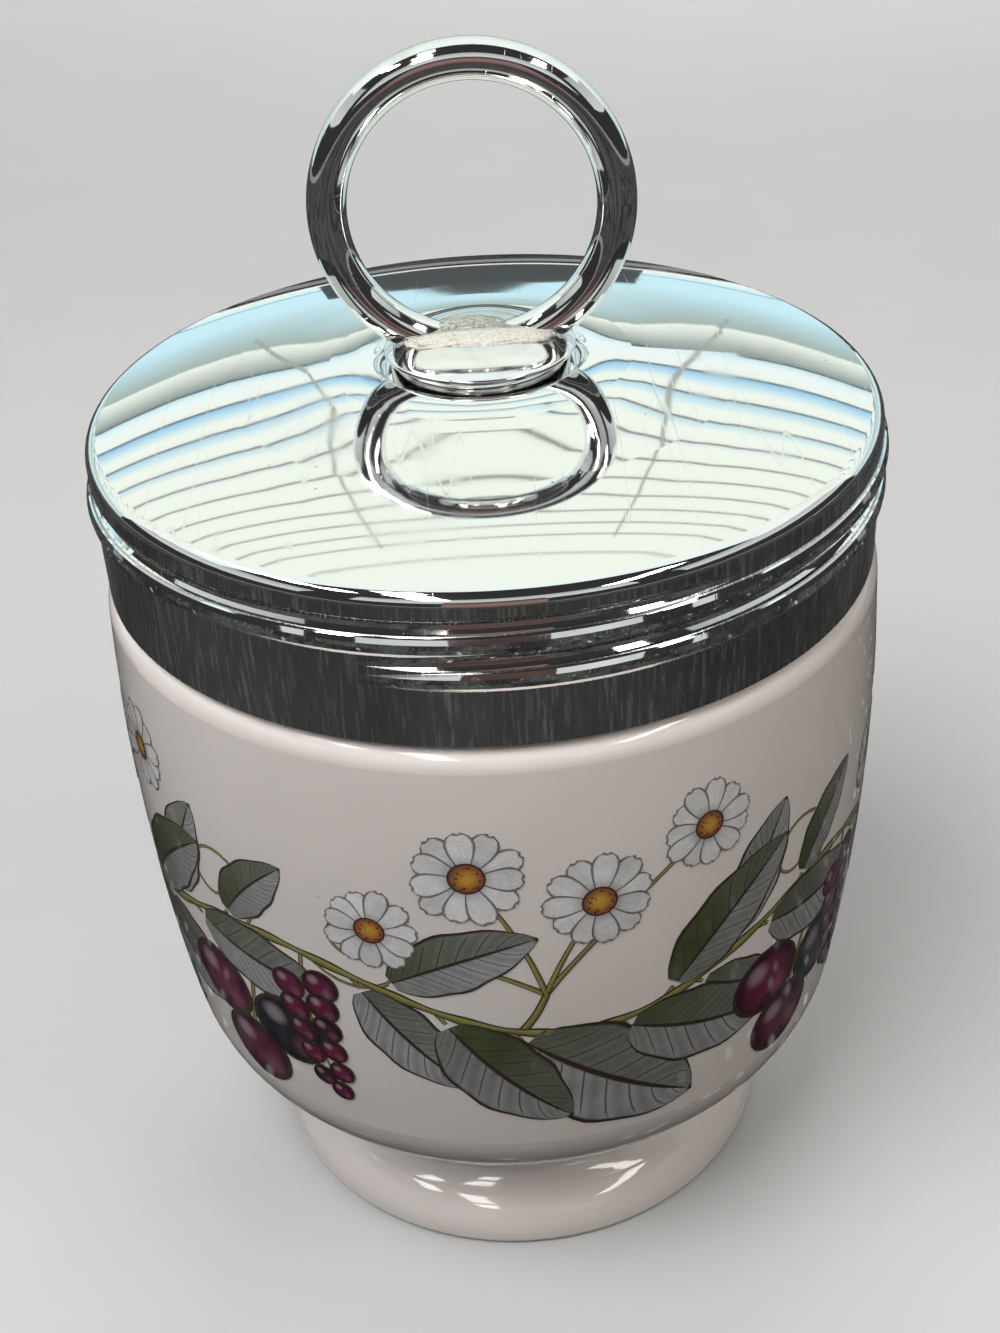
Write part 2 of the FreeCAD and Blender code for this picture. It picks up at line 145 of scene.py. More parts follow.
class Graph:
    """A node tree, emptied, with short ways to add nodes and join them."""

    def __init__(self, tree):
        self.tree = tree
        tree.nodes.clear()

    def feed(self, socket, value):
        """Join a Value to an input, or set the input to a plain value."""
        if isinstance(value, Value):
            self.tree.links.new(value.socket, socket)
        else:
            socket.default_value = value

    def add(self, kind, inputs=None, **settings):
        """A new node. inputs maps a socket's name or number to what it is fed with."""
        item = self.tree.nodes.new(kind)
        for name, value in settings.items():
            setattr(item, name, value)
        for name, value in (inputs or {}).items():
            self.feed(item.inputs[name], value)
        return item

    def out(self, kind, inputs=None, output=0, **settings):
        """One output of a new node."""
        return Value(self, self.add(kind, inputs, **settings).outputs[output])

    def math(self, operation, *values):
        return self.out("ShaderNodeMath", dict(enumerate(values)), operation=operation)

    def most(self, first, *others):
        """The largest of several values."""
        for other in others:
            first = self.math("MAXIMUM", first, other)
        return first

    def vector(self, operation, first, second):
        """A sum or product with a vector, or a vector scaled by a number."""
        second_input = "Scale" if operation == "SCALE" else 1
        return self.out("ShaderNodeVectorMath", {0: first, second_input: second}, operation=operation)

    def blend(self, factor, first, second):
        """A colour between two colours."""
        return self.out("ShaderNodeMix", {0: factor, 6: first, 7: second}, 2, data_type="RGBA")

    def between(self, factor, first, second):
        """A number between two numbers."""
        return self.out("ShaderNodeMix", {0: factor, 2: first, 3: second}, data_type="FLOAT")

    def noise(self, vector, scale, detail=2.0, rough=0.5):
        return self.out("ShaderNodeTexNoise",
                        {"Vector": vector, "Scale": scale, "Detail": detail, "Roughness": rough})

    def cells(self, vector, scale):
        """Distance to the nearest of many scattered points."""
        return self.out("ShaderNodeTexVoronoi", {"Vector": vector, "Scale": scale})

    def split(self, vector):
        return [Value(self, socket) for socket in self.add("ShaderNodeSeparateXYZ", {0: vector}).outputs]

    def join(self, x, y, z):
        return self.out("ShaderNodeCombineXYZ", {0: x, 1: y, 2: z})

    def radius(self, x, y):
        """Distance of (x, y) from the origin."""
        return self.math("SQRT", x * x + y * y)

    def place(self):
        """Where a point is on its own object."""
        return self.out("ShaderNodeTexCoord", output="Object")

    def use(self, name, **inputs):
        """The output of a shared group, which is built when it is first used."""
        if name not in bpy.data.node_groups:
            fill, output, sockets = SHARED_GROUPS[name]
            _, graph, given = new_tree(name, "Shader", sockets, output)
            graph.add("NodeGroupOutput", {0: fill(graph, given)})
        fed = {socket.capitalize(): value for socket, value in inputs.items()}
        return self.out("ShaderNodeGroup", fed, node_tree=bpy.data.node_groups[name])

    def surface(self, inputs, height=None, depth=0.0):
        """End a material with a Principled shader. height is a relief and depth its size in metres."""
        shader = self.add("ShaderNodeBsdfPrincipled", inputs)
        if height is not None:
            bump = self.out("ShaderNodeBump", {"Height": height, "Distance": depth, "Strength": 1.0})
            self.feed(shader.inputs["Normal"], bump)
        self.add("ShaderNodeOutputMaterial", {"Surface": Value(self, shader.outputs[0])})

    def glow(self, colour, strength):
        """End a material that only glows."""
        shine = self.out("ShaderNodeEmission", {"Color": colour, "Strength": strength})
        self.add("ShaderNodeOutputMaterial", {"Surface": shine})


def new_tree(name, family, inputs, output):
    """An empty node tree with named sockets, its graph and the values of its inputs.

    Each of the inputs is (name, kind) or (name, kind, default), and output is (name, kind).
    """
    tree = bpy.data.node_groups.new(name, f"{family}NodeTree")
    for socket, kind, *default in inputs:
        item = tree.interface.new_socket(socket, in_out="INPUT", socket_type=f"NodeSocket{kind}")
        if default:
            item.default_value = default[0]
    tree.interface.new_socket(output[0], in_out="OUTPUT", socket_type=f"NodeSocket{output[1]}")
    graph = Graph(tree)
    given = {socket.name: Value(graph, socket) for socket in graph.add("NodeGroupInput").outputs}
    return tree, graph, given


def scratches(graph, given):
    """Fine straight scratches in three directions, broken up into short lengths."""
    lines = []
    for number, turn in enumerate((0.3, 1.4, 2.5)):
        turned = graph.out("ShaderNodeMapping", {
            "Vector": given["Vector"], "Rotation": (0.4 * number, 0.2, turn), "Scale": (1.0, 0.03, 0.4)})
        thin = abs(graph.noise(turned, given["Scale"], 0.0) - 0.5).ramp(given["Width"], 0.0)
        lines.append(thin * graph.noise(turned, given["Scale"] * 0.31, 1.0).ramp(0.5, 0.62))
    return graph.most(*lines)


def smudges(graph, given):
    """Soft smears where metal or glaze has been handled and wiped."""
    stretched = graph.out("ShaderNodeMapping", {
        "Vector": given["Vector"], "Rotation": (0.0, 0.0, 0.7), "Scale": (1.0, 0.35, 1.0)})
    smear = graph.noise(stretched, given["Scale"], 4.0, 0.6).ramp(0.48, 0.75)
    return smear * graph.noise(given["Vector"], given["Scale"] * 9.0, 3.0).ramp(0.35, 0.7)


def printed(graph, given):
    """The look of a printed colour: soft stippling, and an ink line where a mask says so."""
    dots = graph.noise(given["Vector"], 5200.0, 2.0, 0.7)
    wash = graph.noise(given["Vector"], 420.0, 3.0, 0.55)
    gain = (dots - 0.5 + (wash - 0.5)) * (given["Stipple"] * 4.0) + 1.0
    return graph.blend(given["Line"], graph.vector("SCALE", given["Colour"], gain), given["Ink"])


# what fills each group, its output and its inputs
SHARED_GROUPS = {
    "Fine scratches": (scratches, ("Mask", "Float"), (
        ("Vector", "Vector"), ("Scale", "Float", 600.0), ("Width", "Float", 0.006))),
    "Wiped smudges": (smudges, ("Mask", "Float"), (("Vector", "Vector"), ("Scale", "Float", 70.0))),
    "Printed colour": (printed, ("Colour", "Color"), (
        ("Vector", "Vector"), ("Colour", "Color", (0.5, 0.5, 0.5, 1.0)),
        ("Ink", "Color", (0.05, 0.03, 0.02, 1.0)), ("Line", "Float", 0.0), ("Stipple", "Float", 0.15))),
}


def new_mesh(name, points, faces):
    mesh = bpy.data.meshes.new(name)
    mesh.from_pydata(points, [], faces)
    return mesh


def new_object(name, data):
    """An object that is linked to the scene."""
    item = bpy.data.objects.new(name, data)
    bpy.context.scene.collection.objects.link(item)
    return item


def new_material(name):
    """An empty node material and its graph."""
    material = bpy.data.materials.new(name)
    material.use_nodes = True
    return material, Graph(material.node_tree)


def dress(node, material):
    """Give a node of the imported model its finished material."""
    mesh = NODES[node].data
    mesh.materials.clear()
    mesh.materials.append(material)


def finish_tree(graph, geometry, place, material):
    """End a geometry tree: real points are moved to their place, shaded smooth and given a material."""
    for kind, inputs in (("RealizeInstances", {}), ("SetPosition", {"Position": place}),
                         ("SetShadeSmooth", {}), ("SetMaterial", {"Material": material})):
        geometry = graph.out(f"GeometryNode{kind}", {"Geometry": geometry, **inputs})
    graph.add("NodeGroupOutput", {0: geometry})


def run_tree(name, mesh, tree, values):
    """Run a geometry tree on a mesh and keep the result as a plain mesh object."""
    piece = new_object(name, mesh)
    modifier = piece.modifiers.new(tree.name, "NODES")
    modifier.node_group = tree
    for socket in tree.interface.items_tree:
        if socket.in_out == "INPUT" and socket.name in values:
            modifier[socket.identifier] = values[socket.name]
    bpy.context.view_layer.update()
    shown = piece.evaluated_get(bpy.context.evaluated_depsgraph_get())
    result = bpy.data.meshes.new_from_object(shown)
    if not result.polygons:
        raise RuntimeError(f"{name} came out empty")
    piece.modifiers.clear()
    piece.data = result
    result.name = name
    return piece


# ---------------------------------------------------------------- kinds of setting

def colour_setting(name, description, red, green, blue):
    return FloatVectorProperty(name=name, description=description, subtype="COLOR", size=4, min=0, max=1,
                               default=(red, green, blue, 1))


def length_setting(name, description, default):
    return FloatProperty(name=name, description=description, unit="LENGTH", default=default)


def angle_setting(name, description, degrees):
    return FloatProperty(name=name, description=description, subtype="ANGLE", default=math.radians(degrees))


def number_setting(name, description, default):
    return FloatProperty(name=name, description=description, min=0, default=default)


# ---------------------------------------------------------------- the porcelain

class GlazeSettings(bpy.types.PropertyGroup):
    """Colours and finish of the glazed porcelain."""

    colour: colour_setting("Glaze", "Colour of the glazed porcelain", 0.655, 0.600, 0.567)
    # painted shade: the darker colour painted round the waist, under the bowl's overhang
    waist_shade: colour_setting("Pooled glaze", "Colour where the glaze has run together", 0.52, 0.468, 0.436)
    bare: colour_setting("Bare foot", "Colour of the unglazed land of the foot", 0.52, 0.47, 0.42)
    roughness: number_setting("Roughness", "Roughness of the glaze", 0.045)
    waviness: length_setting("Waviness", "Height of the glaze's slow waves", 0.00006)


GLAZE_IOR = 1.52


def porcelain():
    """White porcelain under a clear glaze, bare where the foot stands."""
    look = bpy.context.scene.coddler_glaze
    waist_height, waist_shade_reach = 0.0092, 0.0042
    material, graph = new_material("glazed_porcelain")
    place = graph.place()
    z = graph.split(place)[2]
    # painted shade: the glaze is darkened round the waist, where the bowl overhangs the foot
    waist_shade_mask = abs(z - waist_height).ramp(waist_shade_reach, 0.0)
    cloud = graph.noise(place, 38.0, 3.0, 0.55).ramp(0.45, 0.75)
    colour = graph.blend(waist_shade_mask * 0.55 + cloud * 0.22, look.colour, look.waist_shade)
    pinhole = graph.cells(place, 150.0).ramp(0.035, 0.015)
    colour = graph.blend(pinhole * 0.35, colour, (0.16, 0.13, 0.11, 1))
    bare = z.ramp(0.0003, 0.0001)
    glazed = graph.use("Wiped smudges", vector=place, scale=45.0) * 0.05 + look.roughness
    waves = graph.noise(place, 52.0, 1.0, 0.4)
    peel = graph.noise(place, 640.0, 2.0, 0.5)
    graph.surface({
        "Base Color": graph.blend(bare, colour, look.bare),
        "Roughness": graph.between(bare, glazed, 0.7),
        "IOR": GLAZE_IOR,
        "Subsurface Weight": 0.12,
        "Subsurface Radius": (0.004, 0.003, 0.0022),
        "Subsurface Scale": 0.6,
    }, waves + peel * 0.012, look.waviness)
    return material


class CODDLER_OT_glaze_cup(bpy.types.Operator):
    """Glaze the porcelain cup"""

    bl_idname = "coddler.glaze_cup"
    bl_label = "Glaze Cup"

    def execute(self, context):
        dress("cup", porcelain())
        return {"FINISHED"}


# ---------------------------------------------------------------- the printed garland

class PrintSettings(bpy.types.PropertyGroup):
    """Sizes and colours of the garland printed round the bowl."""

    repeats: IntProperty(
        name="Repeats", description="How often the garland repeats round the bowl", default=4, min=1)
    first_direction: angle_setting("First direction", "Direction in which the first repeat starts", -149)
    middle: length_setting("Middle", "Height of the middle of the vine", 0.0408)
    swing: length_setting("Swing", "How far the vine swings up and down", 0.0034)
    vine_width: length_setting("Vine width", "Width of the vine", 0.00085)
    leaf_length: length_setting("Leaf length", "Length of a full leaf", 0.0160)
    cherry_radius: length_setting("Cherry radius", "Radius of a cherry", 0.0040)
    currant_radius: length_setting("Currant radius", "Radius of the largest currant", 0.0018)
    daisy_radius: length_setting("Daisy radius", "Radius of a daisy", 0.0047)
    thickness: length_setting("Thickness", "Depth of the print below the glaze's surface", 0.00004)
    lift: length_setting("Lift", "Height of the print's lowest colour above the glaze", 0.00002)
    ink: colour_setting("Ink", "Colour of the outlines", 0.035, 0.022, 0.016)
    stem: colour_setting("Stem", "Colour of vine and stalks", 0.16, 0.15, 0.045)
    pale_leaf: colour_setting("Pale leaf", "Colour of a leaf's lit half", 0.30, 0.30, 0.31)
    dark_leaf: colour_setting("Dark leaf", "Colour of a leaf's shaded half", 0.055, 0.065, 0.028)
    berry: colour_setting("Berry", "Colour of the red berries", 0.115, 0.012, 0.045)
    ripe_berry: colour_setting("Ripe berry", "Colour of the nearly black berries", 0.014, 0.015, 0.020)
    petal: colour_setting("Petal", "Colour of the petals", 0.62, 0.61, 0.60)
    eye: colour_setting("Eye", "Colour of the daisies' eyes", 0.46, 0.25, 0.035)


LAYER_STEP = 0.000005
PLACE = "print_place"
TONE = "print_tone"
THIN_STALK, STALK, LEAF_STALK, FORK_STALK = 0.00045, 0.00055, 0.0006, 0.0008


class FlatPrint:
    """Faces of one colour family, gathered flat before they are wrapped round the bowl.

    x runs round the bowl and y up its side. Every point also holds its place in its own motif and a
    tone from 0 to 1, which the material reads.
    """

    def __init__(self):
        self.points = []
        self.faces = []
        self.places = []
        self.tones = []

    def point(self, x, y, layer, place, tone):
        self.points.append((x, y, layer * LAYER_STEP))
        self.places.append((*place, 0.0))
        self.tones.append(tone)

    def grid(self, point_at, columns, rows, tone, layer):
        """Add a grid: point_at(u, v) is a flat point for u in -1..1 and v in 0..1."""
        first = len(self.points)
        for row in range(rows + 1):
            for column in range(columns + 1):
                u = 2 * column / columns - 1
                v = row / rows
                self.point(*point_at(u, v), layer, (u, v), tone)
        for row in range(rows):
            for column in range(columns):
                corner = first + row * (columns + 1) + column
                face = (corner, corner + 1, corner + columns + 2, corner + columns + 1)
                self.faces.append(face if self.faces_up(face) else face[::-1])

    def faces_up(self, face):
        """Whether a flat face turns anticlockwise."""
        area = 0.0
        for number, corner in enumerate(face):
            x1, y1, _ = self.points[corner]
            x2, y2, _ = self.points[face[(number + 1) % len(face)]]
            area += x1 * y2 - x2 * y1
        return area > 0

    def disc(self, centre, radius, tone, layer, squash=1.0):
        """Add a round or oval spot, whose places run from -1 to 1 both ways."""
        rings, sides = 5, 28
        first = len(self.points)
        self.point(*centre, layer, (0.0, 0.0), tone)
        for ring in range(1, rings + 1):
            for side in range(sides):
                angle = math.tau * side / sides
                across = math.cos(angle) * ring / rings
                up = math.sin(angle) * ring / rings
                self.point(centre[0] + across * radius * squash, centre[1] + up * radius, layer,
                           (across, up), tone)
        for side in range(sides):
            after = (side + 1) % sides
            self.faces.append((first, first + 1 + side, first + 1 + after))
            for ring in range(rings - 1):
                inner = first + 1 + ring * sides
                outer = inner + sides
                self.faces.append((inner + side, outer + side, outer + after, inner + after))

    def mesh(self, name):
        mesh = new_mesh(name, self.points, self.faces)
        places = mesh.attributes.new(PLACE, "FLOAT_VECTOR", "POINT")
        places.data.foreach_set("vector", [value for place in self.places for value in place])
        tones = mesh.attributes.new(TONE, "FLOAT", "POINT")
        tones.data.foreach_set("value", self.tones)
        return mesh


def directions(heading):
    """Unit vectors ahead and to the left of a heading in radians."""
    ahead = Vector((math.cos(heading), math.sin(heading)))
    return ahead, Vector((-ahead.y, ahead.x))


def curve_point(points, t):
    """A point on the Bezier curve through the first and last of its points."""
    points = [Vector(point) for point in points]
    while len(points) > 1:
        points = [a.lerp(b, t) for a, b in zip(points, points[1:])]
    return points[0]


def ribbon(sheet, points, width, rows=14, taper=0.6):
    """A stalk along a Bezier curve, thinner towards its end."""
    def point_at(u, v):
        step = 0.01
        ahead = curve_point(points, min(v + step, 1.0)) - curve_point(points, max(v - step, 0.0))
        side = Vector((-ahead.y, ahead.x)).normalized()
        half = width / 2 * (1 - (1 - taper) * v)
        return curve_point(points, v) - side * u * half
    sheet.grid(point_at, 2, rows, 0.0, 1)


def leaf(sheet, base, heading, length, tone, layer, bend, slim):
    """A smooth oval leaf with a curved midrib. heading is the direction it points in, in radians."""
    forward, left = directions(heading)

    def point_at(u, v):
        along = 0.03 + 0.97 * v
        rib = forward * length * along + left * length * bend * along ** 2
        side = (left - forward * (2 * bend * along)).normalized()
        half = length * slim * 0.5 * along ** 0.62 * (1.0 - along) ** 0.78 / 0.372
        edge = 1 + 0.035 * math.sin(along * 21 + tone * 9) * abs(u)
        return Vector(base) + rib + side * u * max(half, length * 0.004) * edge
    sheet.grid(point_at, 8, 18, tone, layer)


def petal(sheet, centre, heading, inner, outer, half_width, tone, layer):
    """A long petal with a blunt, slightly notched tip."""
    forward, left = directions(heading)

    def point_at(u, v):
        width = half_width * (0.35 + 0.65 * math.sin(math.pi * 0.5 * min(v * 1.35, 1.0)))
        width *= math.sqrt(max(1 - max(v - 0.62, 0.0) ** 2 / 0.1521, 0.02))
        reach = inner + (outer - inner) * v * (1 - 0.05 * (1 - abs(u)) * v ** 6)
        return Vector(centre) + forward * reach + left * u * width
    sheet.grid(point_at, 4, 9, tone, layer)


def daisy(sheet, centre, radius, turn, chance, petals=11):
    """A daisy: petals in three overlapping layers, and a round eye."""
    for number in range(petals):
        heading = turn + math.tau * (number + chance.uniform(-0.1, 0.1)) / petals
        outer = radius * chance.uniform(0.9, 1.02)
        petal(sheet, centre, heading, radius * 0.2, outer, radius * 0.255, chance.uniform(0.0, 0.35),
              6 + number % 3)
    sheet.disc(centre, radius * 0.31, 1.0, 10)


def cherry(sheets, stalk_from, centre, radius, tone, chance):
    """A cherry on its stalk."""
    top = (centre[0] + radius * 0.1, centre[1] + radius * 0.78)
    bow = ((stalk_from[0] + top[0]) / 2 + chance.uniform(-1, 1) * radius * 0.5,
           (stalk_from[1] + top[1]) / 2)
    ribbon(sheets["stems"], [stalk_from, bow, top], STALK, taper=0.8)
    sheets["berries"].disc(centre, radius, tone, 12, squash=1.04)


def currants(sheets, stalk_from, length, heading, radius, count, chance):
    """A drooping bunch of currants, smaller towards its tip."""
    forward, left = directions(heading)
    start = Vector(stalk_from)
    tip = start + forward * length + left * length * 0.18
    middle = start + forward * length * 0.5 + left * length * -0.02
    ribbon(sheets["stems"], [start, middle, tip], THIN_STALK, taper=0.5)
    for number in range(count):
        part = 0.2 + 0.8 * number / (count - 1)
        size = radius * (1.08 - 0.45 * part)
        side = (-1 if number % 2 else 1) * size * (0.95 if number < count - 1 else 0.1)
        centre = curve_point([start, middle, tip], part) + left * side
        sheets["berries"].disc(centre, size, chance.choice((0.0, 0.12, 0.3, 0.75)), 13 + number)


# part of the repeat, side of the vine, size, slimness and spread of each leaf
LEAVES = (
    (0.015, 1, 0.80, 0.46, 0.95), (0.06, -1, 0.92, 0.50, 0.62), (0.155, 1, 0.66, 0.46, 0.80),
    (0.40, -1, 0.86, 0.48, 0.72), (0.44, 1, 0.84, 0.46, 0.92), (0.53, -1, 1.00, 0.52, 0.66),
    (0.635, -1, 1.22, 0.60, 0.50), (0.80, -1, 1.02, 0.52, 0.58), (0.885, 1, 0.98, 0.44, 0.62),
    (0.94, -1, 0.66, 0.48, 0.95))
# each daisy's place over the vine, across and up, its size and its turn
DAISIES = ((-0.0150, 0.0110, 0.92, 0.1), (-0.0068, 0.0172, 1.04, 0.5),
           (0.0034, 0.0138, 1.00, 0.3), (0.0128, 0.0182, 0.90, 0.8))
# each cherry's place under the fork of the stalks, across and down, and its tone
CHERRIES = ((-0.0062, 0.0098, 0.0), (0.0022, 0.0112, 1.0), (-0.0030, 0.0166, 0.15))


def lay_out_garland(look):
    """One repeat of the garland, laid flat: stems, leaves, berries and daisies."""
    sheets = {name: FlatPrint() for name in ("stems", "leaves", "berries", "daisies")}
    stems = sheets["stems"]
    chance = random.Random(11)
    length = math.tau * GIRTH_RADIUS / look.repeats
    steepness = math.tau * look.swing / length

    def vine(part, offset=0.0):
        """A point of the vine, at a part of the repeat, moved out to one side of it."""
        side = Vector((-steepness * math.cos(math.tau * part), 1.0)).normalized()
        here = Vector((length * part, look.middle + look.swing * math.sin(math.tau * part)))
        here += side * offset
        return here.x, here.y

    def heading_at(part):
        return math.atan(steepness * math.cos(math.tau * part))

    def along_vine(u, v):
        swell = 1 + 0.25 * math.sin(v * 57)
        return vine(v, -u * look.vine_width / 2 * swell)
    stems.grid(along_vine, 2, 120, 0.3, 2)

    for number, (part, side, size, slim, spread) in enumerate(LEAVES):
        heading = heading_at(part) + side * spread
        start = vine(part)
        stalk = 0.0016 * size
        base = (start[0] + math.cos(heading) * stalk, start[1] + math.sin(heading) * stalk)
        ribbon(stems, [start, base], LEAF_STALK, rows=3)
        leaf(sheets["leaves"], base, heading, look.leaf_length * size, number * 0.37 % 1.0,
             3 + number % 3, -side * chance.uniform(0.1, 0.2), slim)

    # daisies over the hollow of the vine, each on its own stalk from one fork
    fork = Vector(vine(0.70)) + Vector((0.0, 0.0045))
    ribbon(stems, [vine(0.66), vine(0.68, 0.002), fork], FORK_STALK, taper=0.8)
    head = vine(0.72)
    for across, up, size, turn in DAISIES:
        centre = (head[0] + across, head[1] + up)
        bow = ((fork.x + centre[0]) / 2 - across * 0.2, (fork.y + centre[1]) / 2)
        ribbon(stems, [fork, bow, centre], STALK)
        daisy(sheets["daisies"], centre, look.daisy_radius * size, turn, chance)

    # cherries and a bunch of currants under its crest
    fork = vine(0.215)
    for across, down, tone in CHERRIES:
        cherry(sheets, fork, (fork[0] + across, fork[1] - down), look.cherry_radius, tone, chance)
    currants(sheets, vine(0.315), 0.0165, -1.66, look.currant_radius, 11, chance)

    # curling tendrils
    curl_radius, curl_turn, tip_radius, half_width = 0.0048, 8.2, 0.0005, 0.00016
    for part in (0.115, 0.345):
        turn = heading_at(part) + 0.9
        centre = Vector(vine(part)) + directions(turn)[0] * curl_radius

        def curl(u, v, centre=centre, turn=turn):
            angle = turn + math.pi + v * curl_turn
            reach = curl_radius * (1 - v) ** 0.9 + tip_radius + half_width * u
            return centre.x + math.cos(angle) * reach, centre.y + math.sin(angle) * reach
        stems.grid(curl, 2, 34, 0.6, 0)
    return sheets


def print_material(name, paint):
    """A printed colour under glaze. paint(graph, look, u, v, tone) gives its colour and ink line."""
    look = bpy.context.scene.coddler_print
    material, graph = new_material(name)
    u, v, _ = graph.split(graph.out("ShaderNodeAttribute", output="Vector", attribute_name=PLACE))
    tone = graph.out("ShaderNodeAttribute", output="Fac", attribute_name=TONE)
    colour, line = paint(graph, look, u, v, tone)
    place = graph.place()
    graph.surface({
        "Base Color": graph.use("Printed colour", vector=place, colour=colour, ink=look.ink, line=line),
        "Roughness": graph.use("Wiped smudges", vector=place, scale=45.0) * 0.05 + 0.09,
        "IOR": GLAZE_IOR,
    })
    return material


def paint_stem(graph, look, u, v, tone):
    """Lit on one side, with ink along both edges."""
    lit = [min(channel * 1.7, 1.0) for channel in look.stem]
    return graph.blend(u.ramp(0.4, -0.5), look.stem, lit), abs(u).ramp(0.45, 0.8)


def paint_leaf(graph, look, u, v, tone):
    """Half pale, half dark, with a midrib and curved side veins."""
    across = abs(u)
    depth = u.ramp(-0.12, 0.12) * 0.62 + v.ramp(0.75, 0.0) * 0.30 + (tone - 0.5) * 0.5
    colour = graph.blend(depth, look.pale_leaf, look.dark_leaf)
    wave = abs(graph.math("FRACT", (v - across * 0.2) * 7.5) - 0.5)
    colour = graph.blend(wave.ramp(0.1, 0.5) * 0.3, colour, look.dark_leaf)
    vein = wave.ramp(0.062, 0.02) * across.ramp(0.97, 0.7) * 0.75
    midrib = across.ramp(0.075, 0.035)
    return colour, graph.most(vein, midrib, across.ramp(0.88, 0.95), v.ramp(0.965, 0.99))


def paint_berry(graph, look, u, v, tone):
    """A round berry with a highlight at its upper left, a dark rim and a little crown."""
    reach = graph.radius(u, v)
    body = graph.blend(tone, look.berry, look.ripe_berry)
    colour = graph.blend(reach.ramp(0.45, 0.95), body, graph.blend(0.72, body, (0.0, 0.0, 0.0, 1)))
    glow = graph.radius(u - 0.38, v + 0.42).ramp(0.5, 0.1)
    colour = graph.blend(glow * 0.35, colour, (0.30, 0.10, 0.14, 1))
    shine = graph.radius(u + 0.33, v - 0.36).ramp(0.42, 0.1)
    colour = graph.blend(shine * 0.5, colour, (0.42, 0.33, 0.38, 1))
    crown = graph.radius(u - 0.1, v + 0.62)
    return colour, graph.most(reach.ramp(0.86, 0.94), crown.ramp(0.16, 0.1))


def paint_daisy(graph, look, u, v, tone):
    """White petals with grey folds; where the tone is 1, the ochre eye with its dark dots."""
    fold = abs(graph.math("SINE", u * 5.2)).ramp(0.3, 0.0) * v.ramp(0.85, 0.3)
    shade = graph.most(fold * 0.35, v.ramp(0.42, 0.0)) * 0.75 + tone
    petals = graph.blend(shade, look.petal, (0.26, 0.25, 0.25, 1))
    petal_line = graph.most(abs(u).ramp(0.74, 0.9), v.ramp(0.93, 0.98)) * 0.8
    reach = graph.radius(u, v)
    dots = graph.cells(graph.join(u, v, 0.0), 3.4).ramp(0.36, 0.22)
    ochre = graph.blend(reach.ramp(0.1, 0.95), look.eye, (0.17, 0.05, 0.03, 1))
    eyes = graph.blend(dots * 0.85, ochre, (0.09, 0.014, 0.02, 1))
    eye = tone.ramp(0.6, 0.8)
    return graph.blend(eye, petals, eyes), graph.between(eye, petal_line, reach.ramp(0.84, 0.95))


def wrap_tree():
    """Geometry nodes that thicken a flat print, repeat it and wrap it round the bowl's side."""
    sizes = ("Girth Radius", "First Direction", "Arc Centre Radius", "Arc Centre Height", "Arc Radius",
             "Lift", "Thickness")
    tree, graph, given = new_tree(
        "Wrap print round bowl", "Geometry",
        (("Geometry", "Geometry"), ("Repeats", "Int"), *((name, "Float") for name in sizes),
         ("Material", "Material")), ("Geometry", "Geometry"))

    # the flat face stays on top; a turned-over copy is pushed down to make the sides and the back
    turned = graph.out("GeometryNodeFlipFaces", {"Mesh": given["Geometry"]})
    layer = graph.split(graph.out("GeometryNodeInputPosition"))[2]
    back = graph.out("GeometryNodeExtrudeMesh", {
        "Mesh": turned, "Offset": (0.0, 0.0, -1.0), "Offset Scale": given["Thickness"] + layer,
        "Individual": False}, mode="FACES")
    both = graph.add("GeometryNodeJoinGeometry", {0: given["Geometry"]})
    graph.feed(both.inputs[0], back)
    slab = graph.out("GeometryNodeMergeByDistance",
                     {"Geometry": Value(graph, both.outputs[0]), "Distance": 1e-7})

    pitch = graph.join(given["Girth Radius"] * math.tau / given["Repeats"], 0.0, 0.0)
    spots = graph.out("GeometryNodeMeshLine", {"Count": given["Repeats"], "Offset": pitch})
    copies = graph.out("GeometryNodeInstanceOnPoints", {"Points": spots, "Instance": slab})

    x, y, z = graph.split(graph.out("GeometryNodeInputPosition"))
    angle = x / given["Girth Radius"] + given["First Direction"]
    arc_radius = given["Arc Radius"]
    rise = y - given["Arc Centre Height"]
    reach = graph.math("SQRT", arc_radius * arc_radius - rise * rise)
    off = (z + given["Lift"]) / arc_radius
    out = given["Arc Centre Radius"] + reach * (off + 1.0)
    place = graph.join(out * graph.math("COSINE", angle), out * graph.math("SINE", angle), y + rise * off)
    finish_tree(graph, copies, place, given["Material"])
    return tree


class CODDLER_OT_print_garland(bpy.types.Operator):
    """Print the garland of daisies, berries and leaves round the bowl"""

    bl_idname = "coddler.print_garland"
    bl_label = "Print Garland"

    def execute(self, context):
        look = context.scene.coddler_print
        tree = wrap_tree()
        paints = {"stems": paint_stem, "leaves": paint_leaf, "berries": paint_berry,
                  "daisies": paint_daisy}
        for kind, sheet in lay_out_garland(look).items():
            piece = run_tree(f"garland_{kind}", sheet.mesh(f"garland_{kind}_flat"), tree, {
                "Repeats": look.repeats, "Girth Radius": GIRTH_RADIUS,
                "First Direction": look.first_direction, "Arc Centre Radius": SIDE_CENTRE,
                "Arc Centre Height": SIDE_HEIGHT, "Arc Radius": SIDE_RADIUS, "Lift": look.lift,
                "Thickness": look.thickness, "Material": print_material(f"printed_{kind}", paints[kind])})
            piece.data.set_sharp_from_angle(angle=math.radians(40))
            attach(piece, "cup")
        return {"FINISHED"}


# ---------------------------------------------------------------- the metal

